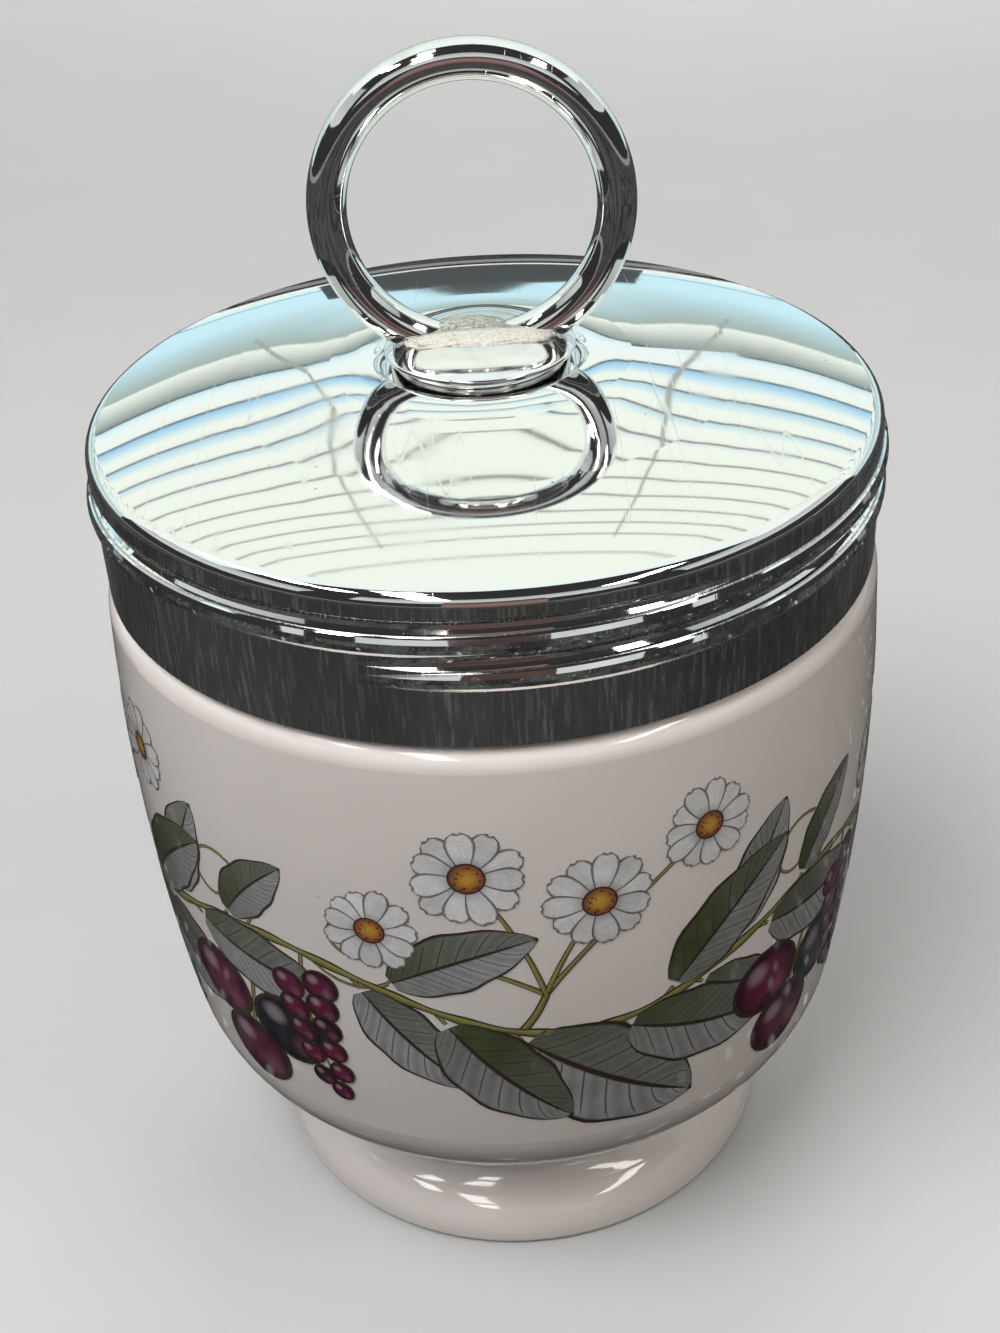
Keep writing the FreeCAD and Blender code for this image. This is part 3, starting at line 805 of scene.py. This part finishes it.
class MetalSettings(bpy.types.PropertyGroup):
    """Colours and finish of lid, boss and ring."""

    colour: colour_setting("Polished", "Colour of the polished steel", 0.86, 0.86, 0.85)
    band_colour: colour_setting("Bands", "Colour of the plain bands of the skirt", 0.44, 0.435, 0.43)
    streak_colour: colour_setting("Streaks", "Colour of the streaks in those bands", 0.86, 0.86, 0.86)
    braze_colour: colour_setting("Braze", "Colour of the brazing", 0.60, 0.585, 0.52)
    crown_start: length_setting("Crown start", "Radius at which the boss's crown starts to fall", 0.0036)
    crown_slope: angle_setting("Crown slope", "Slope of the crown at the collar's edge", 32)
    polish: number_setting("Polish", "Roughness of clean polished steel", 0.035)
    band_roughness: number_setting("Band roughness", "Roughness of the skirt's bands", 0.2)


def polished_roughness(graph, place, polish, scratch_scale=420.0):
    """Roughness of handled, polished metal, and where it is scratched."""
    smear = graph.use("Wiped smudges", vector=place, scale=60.0)
    scratched = graph.use("Fine scratches", vector=place, scale=scratch_scale)
    return smear * 0.07 + polish + scratched * 0.07, scratched


# where the dome's curves meet: radius, half width and rise of the soft step that blends them
CURVE_BLENDS = ((0.01266, 0.0018, 0.000033), (0.0218, 0.0035, -0.000040))
RELIEF = 0.00001


def lid_metal():
    """A mirror on top, and a skirt with drawn, streaky bands between polished beads."""
    look = bpy.context.scene.coddler_metal
    material, graph = new_material("polished_lid")
    place = graph.place()
    x, y, z = graph.split(place)
    reach = graph.radius(x, y)
    band = abs(reach - SKIRT_RADIUS).ramp(0.00014, 0.00006)
    band = band * z.ramp(SKIRT_TOP + 0.0001, SKIRT_TOP - 0.0001)
    drawn = graph.join(x, y, z * 0.07)
    streak = graph.noise(drawn, 3600.0, 2.0, 0.6)
    pale = streak.ramp(0.47, 0.66) * graph.noise(drawn, 420.0, 3.0).ramp(0.26, 0.60)
    wall = graph.blend(pale, look.band_colour, look.streak_colour)
    rough, scratched = polished_roughness(graph, place, look.polish)
    pit = graph.cells(place, 420.0).ramp(0.06, 0.03) * graph.noise(place, 90.0, 1.0).ramp(0.5, 0.6)
    colour = graph.blend(pit * 0.6, look.colour, (0.3, 0.3, 0.3, 1))
    height = streak * band * 0.35 + graph.most(scratched, pit) * -0.08
    for middle, half_width, rise in CURVE_BLENDS:
        height = height + reach.ramp(middle - half_width, middle + half_width) * (rise / RELIEF)
    graph.surface({
        "Base Color": graph.blend(band, colour, wall),
        "Roughness": graph.between(band, rough, streak * 0.12 + look.band_roughness),
        "Metallic": 1.0,
    }, height, RELIEF)
    return material


def ring_metal(name, turned):
    """Polished steel with fine scratches, and lathe lines where it is turned."""
    look = bpy.context.scene.coddler_metal
    material, graph = new_material(name)
    place = graph.place()
    rough, scratched = polished_roughness(graph, place, look.polish + 0.01, 700.0)
    dull = graph.noise(place, 240.0, 2.0).ramp(0.5, 0.8)
    height = scratched * -0.3
    if turned:
        x, y, z = graph.split(place)
        height = height + graph.noise(graph.join(graph.radius(x, y), 0.0, z), 5200.0, 1.0) * 0.5
        rough = rough + 0.05
    graph.surface({
        "Base Color": graph.blend(dull * 0.3, look.colour, (0.5, 0.48, 0.46, 1)),
        "Roughness": rough,
        "Metallic": 1.0,
    }, height, 0.000006)
    return material


def washer_metal():
    """Plain stamped steel, seen only from inside the lid."""
    material, graph = new_material("stamped_steel")
    grain = graph.noise(graph.place(), 900.0, 3.0)
    graph.surface({
        "Base Color": graph.blend(grain, (0.38, 0.38, 0.38, 1), (0.6, 0.6, 0.6, 1)),
        "Roughness": grain * 0.2 + 0.25,
        "Metallic": 1.0,
    }, grain, 0.00001)
    return material


class CODDLER_OT_polish_metal(bpy.types.Operator):
    """Polish lid, ring and washer"""

    bl_idname = "coddler.polish_metal"
    bl_label = "Polish Metal"

    def execute(self, context):
        dress("lid_cap", lid_metal())
        dress("lifting_ring", ring_metal("polished_ring", False))
        dress("backing_washer", washer_metal())
        return {"FINISHED"}


def turned_mesh(name, outline, sides=144):
    """A closed turned shape. The outline's (radius, height) points start and end on the axis."""
    points = [(0.0, 0.0, outline[0][1])]
    for reach, height in outline[1:-1]:
        for side in range(sides):
            turn = math.tau * side / sides
            points.append((reach * math.cos(turn), reach * math.sin(turn), height))
    points.append((0.0, 0.0, outline[-1][1]))
    faces = []
    for side in range(sides):
        after = (side + 1) % sides
        faces.append((0, 1 + after, 1 + side))
        for ring in range(len(outline) - 3):
            low = 1 + ring * sides
            faces.append((low + side, low + after, low + sides + after, low + sides + side))
        last = len(points) - 1 - sides
        faces.append((last + side, last + after, len(points) - 1))
    mesh = new_mesh(name, points, faces)
    mesh.shade_smooth()
    mesh.set_sharp_from_angle(angle=math.radians(34))
    return mesh


def arc(centre, radius, start, end, steps=10):
    """Points of an arc in an outline, from one angle to another, in degrees."""
    turns = [math.radians(start + (end - start) * step / steps) for step in range(steps + 1)]
    return [(centre[0] + radius * math.cos(turn), centre[1] + radius * math.sin(turn)) for turn in turns]


def boss_outline():
    """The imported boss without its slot, its collar turned to a low crown that mirrors the room."""
    look = bpy.context.scene.coddler_metal
    rim = BOSS_HIGH.x
    stem, head_round, head_height, ease, edge = 0.0030, 0.0010, 0.00105, 0.00025, 0.0001
    head = farthest("ring_boss", BOSS_LOW.z, BOSS_LOW.z + head_height)
    neck_low = height_range("ring_boss", rim * 0.93)[0]
    collar_low = height_range("ring_boss", rim * 0.985)[0]
    neck = farthest("ring_boss", neck_low, neck_low + 0.0005)
    crown_end = rim - ease + ease * math.sin(look.crown_slope)
    crown = (crown_end - look.crown_start) / math.sin(look.crown_slope)
    crown_drop = crown * (1 - math.cos(look.crown_slope))
    wall_top = BOSS_HIGH.z - crown_drop - ease * math.cos(look.crown_slope)
    slope = 90 - math.degrees(look.crown_slope)
    return [
        (0.0, BOSS_LOW.z),
        *arc((head - head_round, BOSS_LOW.z + head_round), head_round, -90, 0),
        (stem, BOSS_LOW.z + head_round),
        (stem, neck_low),
        (neck, neck_low),
        (neck, collar_low),
        (rim - edge, collar_low),
        (rim, collar_low + edge),
        *arc((rim - ease, wall_top), ease, 0, slope, 6),
        *arc((look.crown_start, BOSS_HIGH.z - crown), crown, slope, 90, 14)[1:],
        (0.0, BOSS_HIGH.z),
    ]


class CODDLER_OT_turn_boss(bpy.types.Operator):
    """Turn the boss that carries the ring"""

    bl_idname = "coddler.turn_boss"
    bl_label = "Turn Boss"

    def execute(self, context):
        mesh = turned_mesh("turned_boss", boss_outline())
        mesh.materials.append(ring_metal("turned_boss", True))
        piece = new_object("turned_boss", mesh)
        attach(piece, "lid")
        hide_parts("ring_boss")
        return {"FINISHED"}


def braze_metal():
    """Rough brazing: a pale crust in front, silver over the wire, with a grey patch."""
    look = bpy.context.scene.coddler_metal
    material, graph = new_material("silver_braze")
    place = graph.place()
    x, y, _ = graph.split(place)
    lumps = graph.noise(place, 1500.0, 4.0, 0.7)
    grit = graph.noise(place, 4200.0, 2.0, 0.6)
    uneven = (lumps - 0.5) * 0.0022
    crust = (y + uneven).ramp(-0.0012, -0.0021)
    patch = (graph.radius((x + 0.0019) * 0.62, y) + uneven).ramp(0.0019, 0.0012) * (1.0 - crust)
    silver = graph.blend(lumps.ramp(0.5, 0.3), (0.56, 0.54, 0.50, 1), (0.26, 0.24, 0.21, 1))
    pale = graph.blend(grit.ramp(0.55, 0.3), look.braze_colour, (0.42, 0.40, 0.35, 1))
    grey = graph.blend(grit.ramp(0.55, 0.35), (0.42, 0.43, 0.38, 1), (0.16, 0.16, 0.14, 1))
    dull = graph.most(crust, patch)
    graph.surface({
        "Base Color": graph.blend(patch, graph.blend(crust, silver, pale), grey),
        "Metallic": graph.between(dull, 1.0, 0.35),
        "Roughness": graph.between(dull, 0.22, 0.55),
    }, lumps + grit * 0.4, 0.00011)
    return material


def braze_tree():
    """Geometry nodes that turn a ball into a lumpy bead."""
    tree, graph, given = new_tree(
        "Lumpy bead", "Geometry",
        (("Geometry", "Geometry"), ("Half Size", "Vector"), ("Middle", "Vector"), ("Lumps", "Float"),
         ("Material", "Material")), ("Geometry", "Geometry"))
    ball = graph.out("GeometryNodeMeshIcoSphere", {"Radius": 1.0, "Subdivisions": 6})
    place = graph.out("GeometryNodeInputPosition")
    swell = (graph.noise(place, 3.6, 4.0) - 0.55) * given["Lumps"] + 1.0
    bead = graph.vector("SCALE", graph.vector("MULTIPLY", place, given["Half Size"]), swell)
    finish_tree(graph, ball, graph.vector("ADD", bead, given["Middle"]), given["Material"])
    return tree


class CODDLER_OT_braze_ring(bpy.types.Operator):
    """Build the two beads of brazing that hold the ring: over its wire, and a crust in front"""

    bl_idname = "coddler.braze_ring"
    bl_label = "Braze Ring"

    def execute(self, context):
        wire = WIRE_RADIUS
        reach = BRAZE_HIGH.x
        collar = BRAZE_LOW.z
        tree, material = braze_tree(), braze_metal()
        # name, half size and middle of each bead
        for name, half, middle in (
                ("brazing", (reach * 1.02, wire * 1.45, 0.00080), (0.0, -wire, collar - 0.00022)),
                ("wire_braze", (reach * 0.60, wire * 1.08, 0.00100), (-0.0009, 0.0, collar - 0.00005))):
            piece = run_tree(name, bpy.data.meshes.new(f"{name}_start"), tree, {
                "Half Size": half, "Middle": middle, "Lumps": 0.30, "Material": material})
            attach(piece, "lid")
            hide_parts("braze_fillet")
        return {"FINISHED"}


# ---------------------------------------------------------------- the studio

class StageSettings(bpy.types.PropertyGroup):
    """Floor, lamps, blind and camera."""

    floor_colour: colour_setting("Floor", "Colour of the floor", 0.46, 0.46, 0.455)
    floor_bounce: colour_setting("Floor bounce", "Colour of the light the floor throws back",
                                 0.06, 0.057, 0.054)
    camera_place: FloatVectorProperty(
        name="Camera place", description="Where the camera stands", subtype="TRANSLATION",
        unit="LENGTH", size=3, default=(0.0, -0.13293, 0.13940))
    camera_turn: FloatVectorProperty(
        name="Camera turn", description="How the camera is turned", subtype="EULER", size=3,
        default=(math.radians(56.377), math.radians(2.649), math.radians(-1.840)))
    lens: number_setting("Lens", "Focal length for a 36 mm wide picture, in millimetres", 61.34)
    back_power: number_setting("Back lamp", "Power of the lamp behind the coddler, in watts", 2.2)
    key_power: number_setting("Key lamp", "Power of the large lamp, in watts", 5.0)
    fill_power: number_setting("Fill lamp", "Power of the lamp on the other side, in watts", 1.3)
    room_strength: number_setting("Room light", "Brightness of the pale room all round", 0.32)
    room_reflection: number_setting("Room reflection", "Brightness of the room in reflections", 0.036)
    backdrop: number_setting("Backdrop", "Brightness of the room behind the coddler", 0.56)
    blind_distance: length_setting("Blind distance", "How far behind the coddler the blind hangs", 0.75)
    blind_half_width: length_setting("Blind half width", "Half of the blind's width", 1.7)
    ceiling_edge: length_setting("Ceiling edge", "Where the bright ceiling ends in front", -0.06)
    lamp_height: length_setting("Lamp height", "Height of the ceiling lamps", 1.0)
    lamp_strength: number_setting("Ceiling lamps", "Brightness of the ceiling lamps in reflections", 12.0)


BOWL_MIDDLE = (0.0, 0.0, 0.05)
LIGHT = "stage_light"
CREAM = (1.02, 1.09, 0.99)
COOL_WHITE = (0.96, 1.08, 1.07)
PALE_BLUE = (0.66, 0.96, 1.06)
SKY_BLUE = (0.33, 0.68, 0.96)
GREY_GREEN = (0.42, 0.52, 0.48)
DEEP_GREY = (0.30, 0.37, 0.35)
CORD_GREY = (0.42, 0.46, 0.43)
DARK_THING = (0.085, 0.095, 0.095)


def stage_mesh(name, points, faces, material):
    """A mesh object that is a part of the studio."""
    mesh = new_mesh(name, points, faces)
    mesh.materials.append(material)
    item = new_object(name, mesh)
    return item


def only_in_reflections(item):
    """Hide an object from everything but reflections."""
    item.visible_camera = False
    item.visible_diffuse = False
    item.visible_shadow = False
    item.visible_transmission = False
    return item


class LightBoard:
    """Glowing strips, each with a light at its foot and another at its head."""

    def __init__(self):
        self.points = []
        self.faces = []
        self.lights = []

    def quad(self, corners, foot, head):
        """Add a four-cornered strip: two corners at its foot, then two at its head."""
        first = len(self.points)
        self.points += corners
        self.lights += [foot, foot, head, head]
        self.faces.append((first, first + 1, first + 2, first + 3))

    def upright(self, y, left, right, low, high, foot, head):
        self.quad([(left, y, low), (right, y, low), (right, y, high), (left, y, high)], foot, head)

    def level(self, z, left, right, near, far, foot, head):
        self.quad([(left, near, z), (right, near, z), (right, far, z), (left, far, z)], foot, head)

    def build(self, name, strength=1.0):
        material, graph = new_material(name)
        graph.glow(graph.out("ShaderNodeAttribute", output="Color", attribute_name=LIGHT), strength)
        item = stage_mesh(name, self.points, self.faces, material)
        colours = item.data.attributes.new(LIGHT, "FLOAT_COLOR", "POINT")
        colours.data.foreach_set("color", [value for light in self.lights for value in (*light, 1.0)])
        return only_in_reflections(item)


def slat_line(number):
    """Height of the gap under a slat of the blind: the slats get a little narrower upwards."""
    lowest, pitch, narrowing = 0.435, 0.0745, 0.00072
    return lowest + pitch * number - narrowing * number ** 2


def build_blind(look):
    """A window's sill, a slatted blind over it, and the bright ceiling above."""
    board = LightBoard()
    y, wide = look.blind_distance, look.blind_half_width
    slats, gap, cord_width = 9, 0.0055, 0.004

    def strip(low, high, foot, head):
        board.upright(y, -wide, wide, low, high, foot, head)

    # the sill and the rails below the slats, from the floor up
    for low, high, foot, head in (
            (0.074, 0.115, CREAM, PALE_BLUE), (0.115, 0.175, PALE_BLUE, PALE_BLUE),
            (0.172, 0.290, PALE_BLUE, GREY_GREEN), (0.287, 0.365, CREAM, DEEP_GREY),
            (0.367, 0.390, PALE_BLUE, COOL_WHITE), (0.387, slat_line(0) - gap / 2, COOL_WHITE, CREAM)):
        strip(low + gap / 2, high, foot, head)

    # each slat shows the sky at its foot, less and less so upwards
    for number in range(slats):
        low, high = slat_line(number), slat_line(number + 1)
        share = max(0.62 - 0.13 * number, 0.15)
        blue = max(1.0 - 0.26 * number, 0.0)
        foot = tuple(Vector(CREAM).lerp(Vector(SKY_BLUE), blue))
        middle = tuple(Vector(CREAM).lerp(Vector(PALE_BLUE), min(blue, 0.55)))
        turn = low + (high - low) * share
        bend = low + (turn - low) * 0.75
        strip(low + gap / 2, bend, foot, middle)
        strip(bend, turn, middle, CREAM)
        strip(turn, high - gap / 2, CREAM, CREAM)

    # a plain board over the slats, a grey rail, and the ceiling
    top, head_rail, ceiling = slat_line(slats), slat_line(slats) + 0.105, 1.235
    strip(top + gap / 2, head_rail, CREAM, CREAM)
    strip(head_rail, head_rail + 0.02, CORD_GREY, CREAM)
    strip(head_rail + 0.02, ceiling, CREAM, CREAM)
    board.level(ceiling, -wide, wide, y, look.ceiling_edge, CREAM, COOL_WHITE)

    # two cords hang in front of the slats, and a dark thing stands on the sill
    for x in (-0.180, 0.199):
        board.upright(y - 0.004, x, x + cord_width, 0.255, 1.06, CORD_GREY, CORD_GREY)
    board.upright(y - 0.01, -0.108, 0.115, 0.086, 0.168, DARK_THING, DARK_THING)
    board.build("window_blind")


def build_ceiling_lamps(look):
    """Rows of small bright lamps overhead. Each is x, y, half width and half length per metre of height."""
    board = LightBoard()
    warm, cool = (1.0, 0.97, 0.92), (0.90, 0.95, 1.0)
    height = look.lamp_height
    for x, y, half_width, half_length, light in (
            (-0.86, 0.34, 0.075, 0.1125, cool), (-0.80, 0.10, 0.075, 0.1125, cool),
            (-0.72, -0.16, 0.075, 0.125, warm), (-0.65, -0.42, 0.075, 0.1125, warm),
            (-0.30, -0.28, 0.075, 0.1, warm), (-0.36, -0.70, 0.09, 0.1875, warm),
            (-0.40, -1.17, 0.105, 0.175, warm), (0.71, -0.42, 0.075, 0.125, warm),
            (0.73, -0.66, 0.075, 0.125, warm), (0.76, -0.95, 0.09, 0.15, warm),
            (1.14, -2.34, 0.21, 0.375, warm)):
        board.level(height + 0.08, height * (x - half_width), height * (x + half_width),
                    height * (y - half_length), height * (y + half_length), light, light)
    board.build("ceiling_lamps", look.lamp_strength)


def build_side_strips():
    """Three dim pale strips round the other sides, so that the metal is alive from there too."""
    board = LightBoard()
    out, half_width, low, high = 1.6, 1.25, 0.66, 1.45
    pale, dim = (0.70, 0.74, 0.74), (0.42, 0.45, 0.46)
    for across, ahead in ((-1, 0), (0, -1), (1, 0)):
        left = (across * out - ahead * half_width, ahead * out + across * half_width)
        right = (across * out + ahead * half_width, ahead * out - across * half_width)
        board.quad([(*left, low), (*right, low), (*right, high), (*left, high)], pale, dim)
    board.build("side_strips")


def build_dark_card():
    """A dark speckled card on the floor round the coddler, for the metal to mirror."""
    material, graph = new_material("speckled_card")
    place = graph.place()
    grain = graph.noise(place, 260.0, 4.0, 0.7).ramp(0.35, 0.6)
    stone = graph.blend(grain, (0.030, 0.032, 0.033, 1), (0.105, 0.110, 0.106, 1))
    patches = graph.noise(place, 11.0, 3.0, 0.6).ramp(0.42, 0.60)
    stone = graph.blend(patches * 0.72, stone, (0.010, 0.008, 0.008, 1))
    speck = graph.cells(place, 170.0).ramp(0.22, 0.12)
    graph.glow(graph.blend(speck, stone, (0.50, 0.52, 0.50, 1)), 1.0)
    sides, inner, outer, height = 64, 0.0262, 1.3, 0.0004
    turns = [math.tau * side / sides for side in range(sides)]
    points = [(math.cos(turn) * reach, math.sin(turn) * reach, height)
              for reach in (inner, outer) for turn in turns]
    faces = [(side, (side + 1) % sides, sides + (side + 1) % sides, sides + side)
             for side in range(sides)]
    only_in_reflections(stage_mesh("dark_card", points, faces, material))


def build_back_panel():
    """A dim red-brown panel behind the camera, which gives the metal its warm cores."""
    board = LightBoard()
    warm_dark, warm = (0.055, 0.034, 0.032), (0.300, 0.195, 0.190)
    y, half_width, low, middle, high = -0.34, 0.078, 0.02, 0.12, 0.22
    board.upright(y, half_width, -half_width, low, middle, warm_dark, warm)
    board.upright(y, half_width, -half_width, middle, high, warm, warm_dark)
    board.build("back_panel")


def area_lamp(name, place, size, power, colour=(1.0, 1.0, 1.0)):
    """A square soft lamp that looks at the middle of the bowl and doesn't show in reflections."""
    data = bpy.data.lights.new(name, "AREA")
    data.size = size
    data.energy = power
    data.color = colour
    lamp = new_object(name, data)
    lamp.location = place
    aim = Vector(BOWL_MIDDLE) - Vector(place)
    lamp.rotation_euler = aim.to_track_quat("-Z", "Y").to_euler()
    lamp.visible_glossy = False


def floor_material(look):
    """A plain pale floor that throws less light up at the bowl than it shows."""
    material, graph = new_material("pale_floor")
    place = graph.place()
    x, y, _ = graph.split(place)
    far = graph.radius(x, y).ramp(0.25, 1.3)
    lighter = [min(channel * 1.06, 1.0) for channel in look.floor_colour]
    pale = graph.blend(graph.noise(place, 30.0, 4.0), look.floor_colour, lighter)
    pale = graph.blend(far, pale, (0.92, 0.92, 0.92, 1))
    diffuse = graph.out("ShaderNodeLightPath", output="Is Diffuse Ray")
    camera = graph.out("ShaderNodeLightPath", output="Is Camera Ray")
    graph.surface({
        "Base Color": graph.blend(diffuse, pale, look.floor_bounce),
        "Emission Color": (1.0, 1.0, 1.0, 1.0),
        "Emission Strength": far * camera * (look.backdrop * 0.5),
        "Roughness": 0.75,
        "Specular IOR Level": 0.2,
    })
    return material


def pale_room(look):
    """A pale room that lights everything, and is dimmer where metal and glaze mirror it."""
    world = bpy.data.worlds.new("pale_room")
    world.use_nodes = True
    graph = Graph(world.node_tree)
    glossy = graph.out("ShaderNodeLightPath", output="Is Glossy Ray")
    camera = graph.out("ShaderNodeLightPath", output="Is Camera Ray")
    strength = graph.between(glossy, look.room_strength, look.room_reflection)
    strength = graph.between(camera, strength, look.backdrop)
    room = graph.out("ShaderNodeBackground", {"Color": (0.95, 0.94, 0.95, 1), "Strength": strength})
    graph.add("ShaderNodeOutputWorld", {"Surface": room})
    return world


class CODDLER_OT_set_stage(bpy.types.Operator):
    """Set the pale floor, the lamps, what the metal mirrors, and the camera"""

    bl_idname = "coddler.set_stage"
    bl_label = "Set Stage"

    def execute(self, context):
        scene = context.scene
        look = scene.coddler_stage
        reach = 3.0
        corners = [(-reach, -reach, 0), (reach, -reach, 0), (reach, reach, 0), (-reach, reach, 0)]
        stage_mesh("floor", corners, [(0, 1, 2, 3)], floor_material(look))
        build_blind(look)
        build_ceiling_lamps(look)
        build_side_strips()
        build_dark_card()
        build_back_panel()
        area_lamp("key_lamp", (-0.24, -0.24, 0.62), 0.40, look.key_power, (0.98, 0.99, 1.0))
        area_lamp("fill_lamp", (0.45, -0.22, 0.45), 0.30, look.fill_power, (1.0, 0.95, 0.88))
        area_lamp("back_lamp", (0.12, 0.62, 0.50), 0.45, look.back_power)
        scene.world = pale_room(look)
        scene.view_settings.view_transform = "Standard"

        data = bpy.data.cameras.new("camera")
        data.sensor_fit = "HORIZONTAL"
        data.sensor_width = 36.0
        data.lens = look.lens
        data.clip_start = 0.01
        camera = new_object("camera", data)
        camera.location = look.camera_place
        camera.rotation_euler = Euler(look.camera_turn, "XYZ")
        scene.camera = camera
        return {"FINISHED"}


# ---------------------------------------------------------------- the add-on

class CODDLER_PT_finish(bpy.types.Panel):
    """The coddler's sizes, colours and steps"""

    bl_idname = "CODDLER_PT_finish"
    bl_label = "Egg Coddler"
    bl_space_type = "VIEW_3D"
    bl_region_type = "UI"
    bl_category = "Coddler"

    def draw(self, context):
        for name, operators in STEPS.items():
            box = self.layout.box()
            settings = getattr(context.scene, name)
            for setting in settings.bl_rna.properties.keys():
                if setting not in ("rna_type", "name"):
                    box.prop(settings, setting)
            for operator in operators:
                box.operator(operator.bl_idname)


SETTINGS = {
    "coddler_glaze": GlazeSettings,
    "coddler_print": PrintSettings,
    "coddler_metal": MetalSettings,
    "coddler_stage": StageSettings,
}
STEPS = {
    "coddler_glaze": (CODDLER_OT_glaze_cup,),
    "coddler_print": (CODDLER_OT_print_garland,),
    "coddler_metal": (CODDLER_OT_polish_metal, CODDLER_OT_turn_boss, CODDLER_OT_braze_ring),
    "coddler_stage": (CODDLER_OT_set_stage,),
}
CLASSES = (*SETTINGS.values(), *(step for steps in STEPS.values() for step in steps), CODDLER_PT_finish)


def register():
    for group in CLASSES:
        bpy.utils.register_class(group)
    for name, group in SETTINGS.items():
        setattr(bpy.types.Scene, name, bpy.props.PointerProperty(type=group))


def unregister():
    for name in SETTINGS:
        delattr(bpy.types.Scene, name)
    for group in reversed(CLASSES):
        bpy.utils.unregister_class(group)


def main():
    """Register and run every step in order."""
    register()
    bpy.ops.coddler.glaze_cup()
    bpy.ops.coddler.print_garland()
    bpy.ops.coddler.polish_metal()
    bpy.ops.coddler.turn_boss()
    bpy.ops.coddler.braze_ring()
    bpy.ops.coddler.set_stage()


if __name__ == "__main__":
    main()
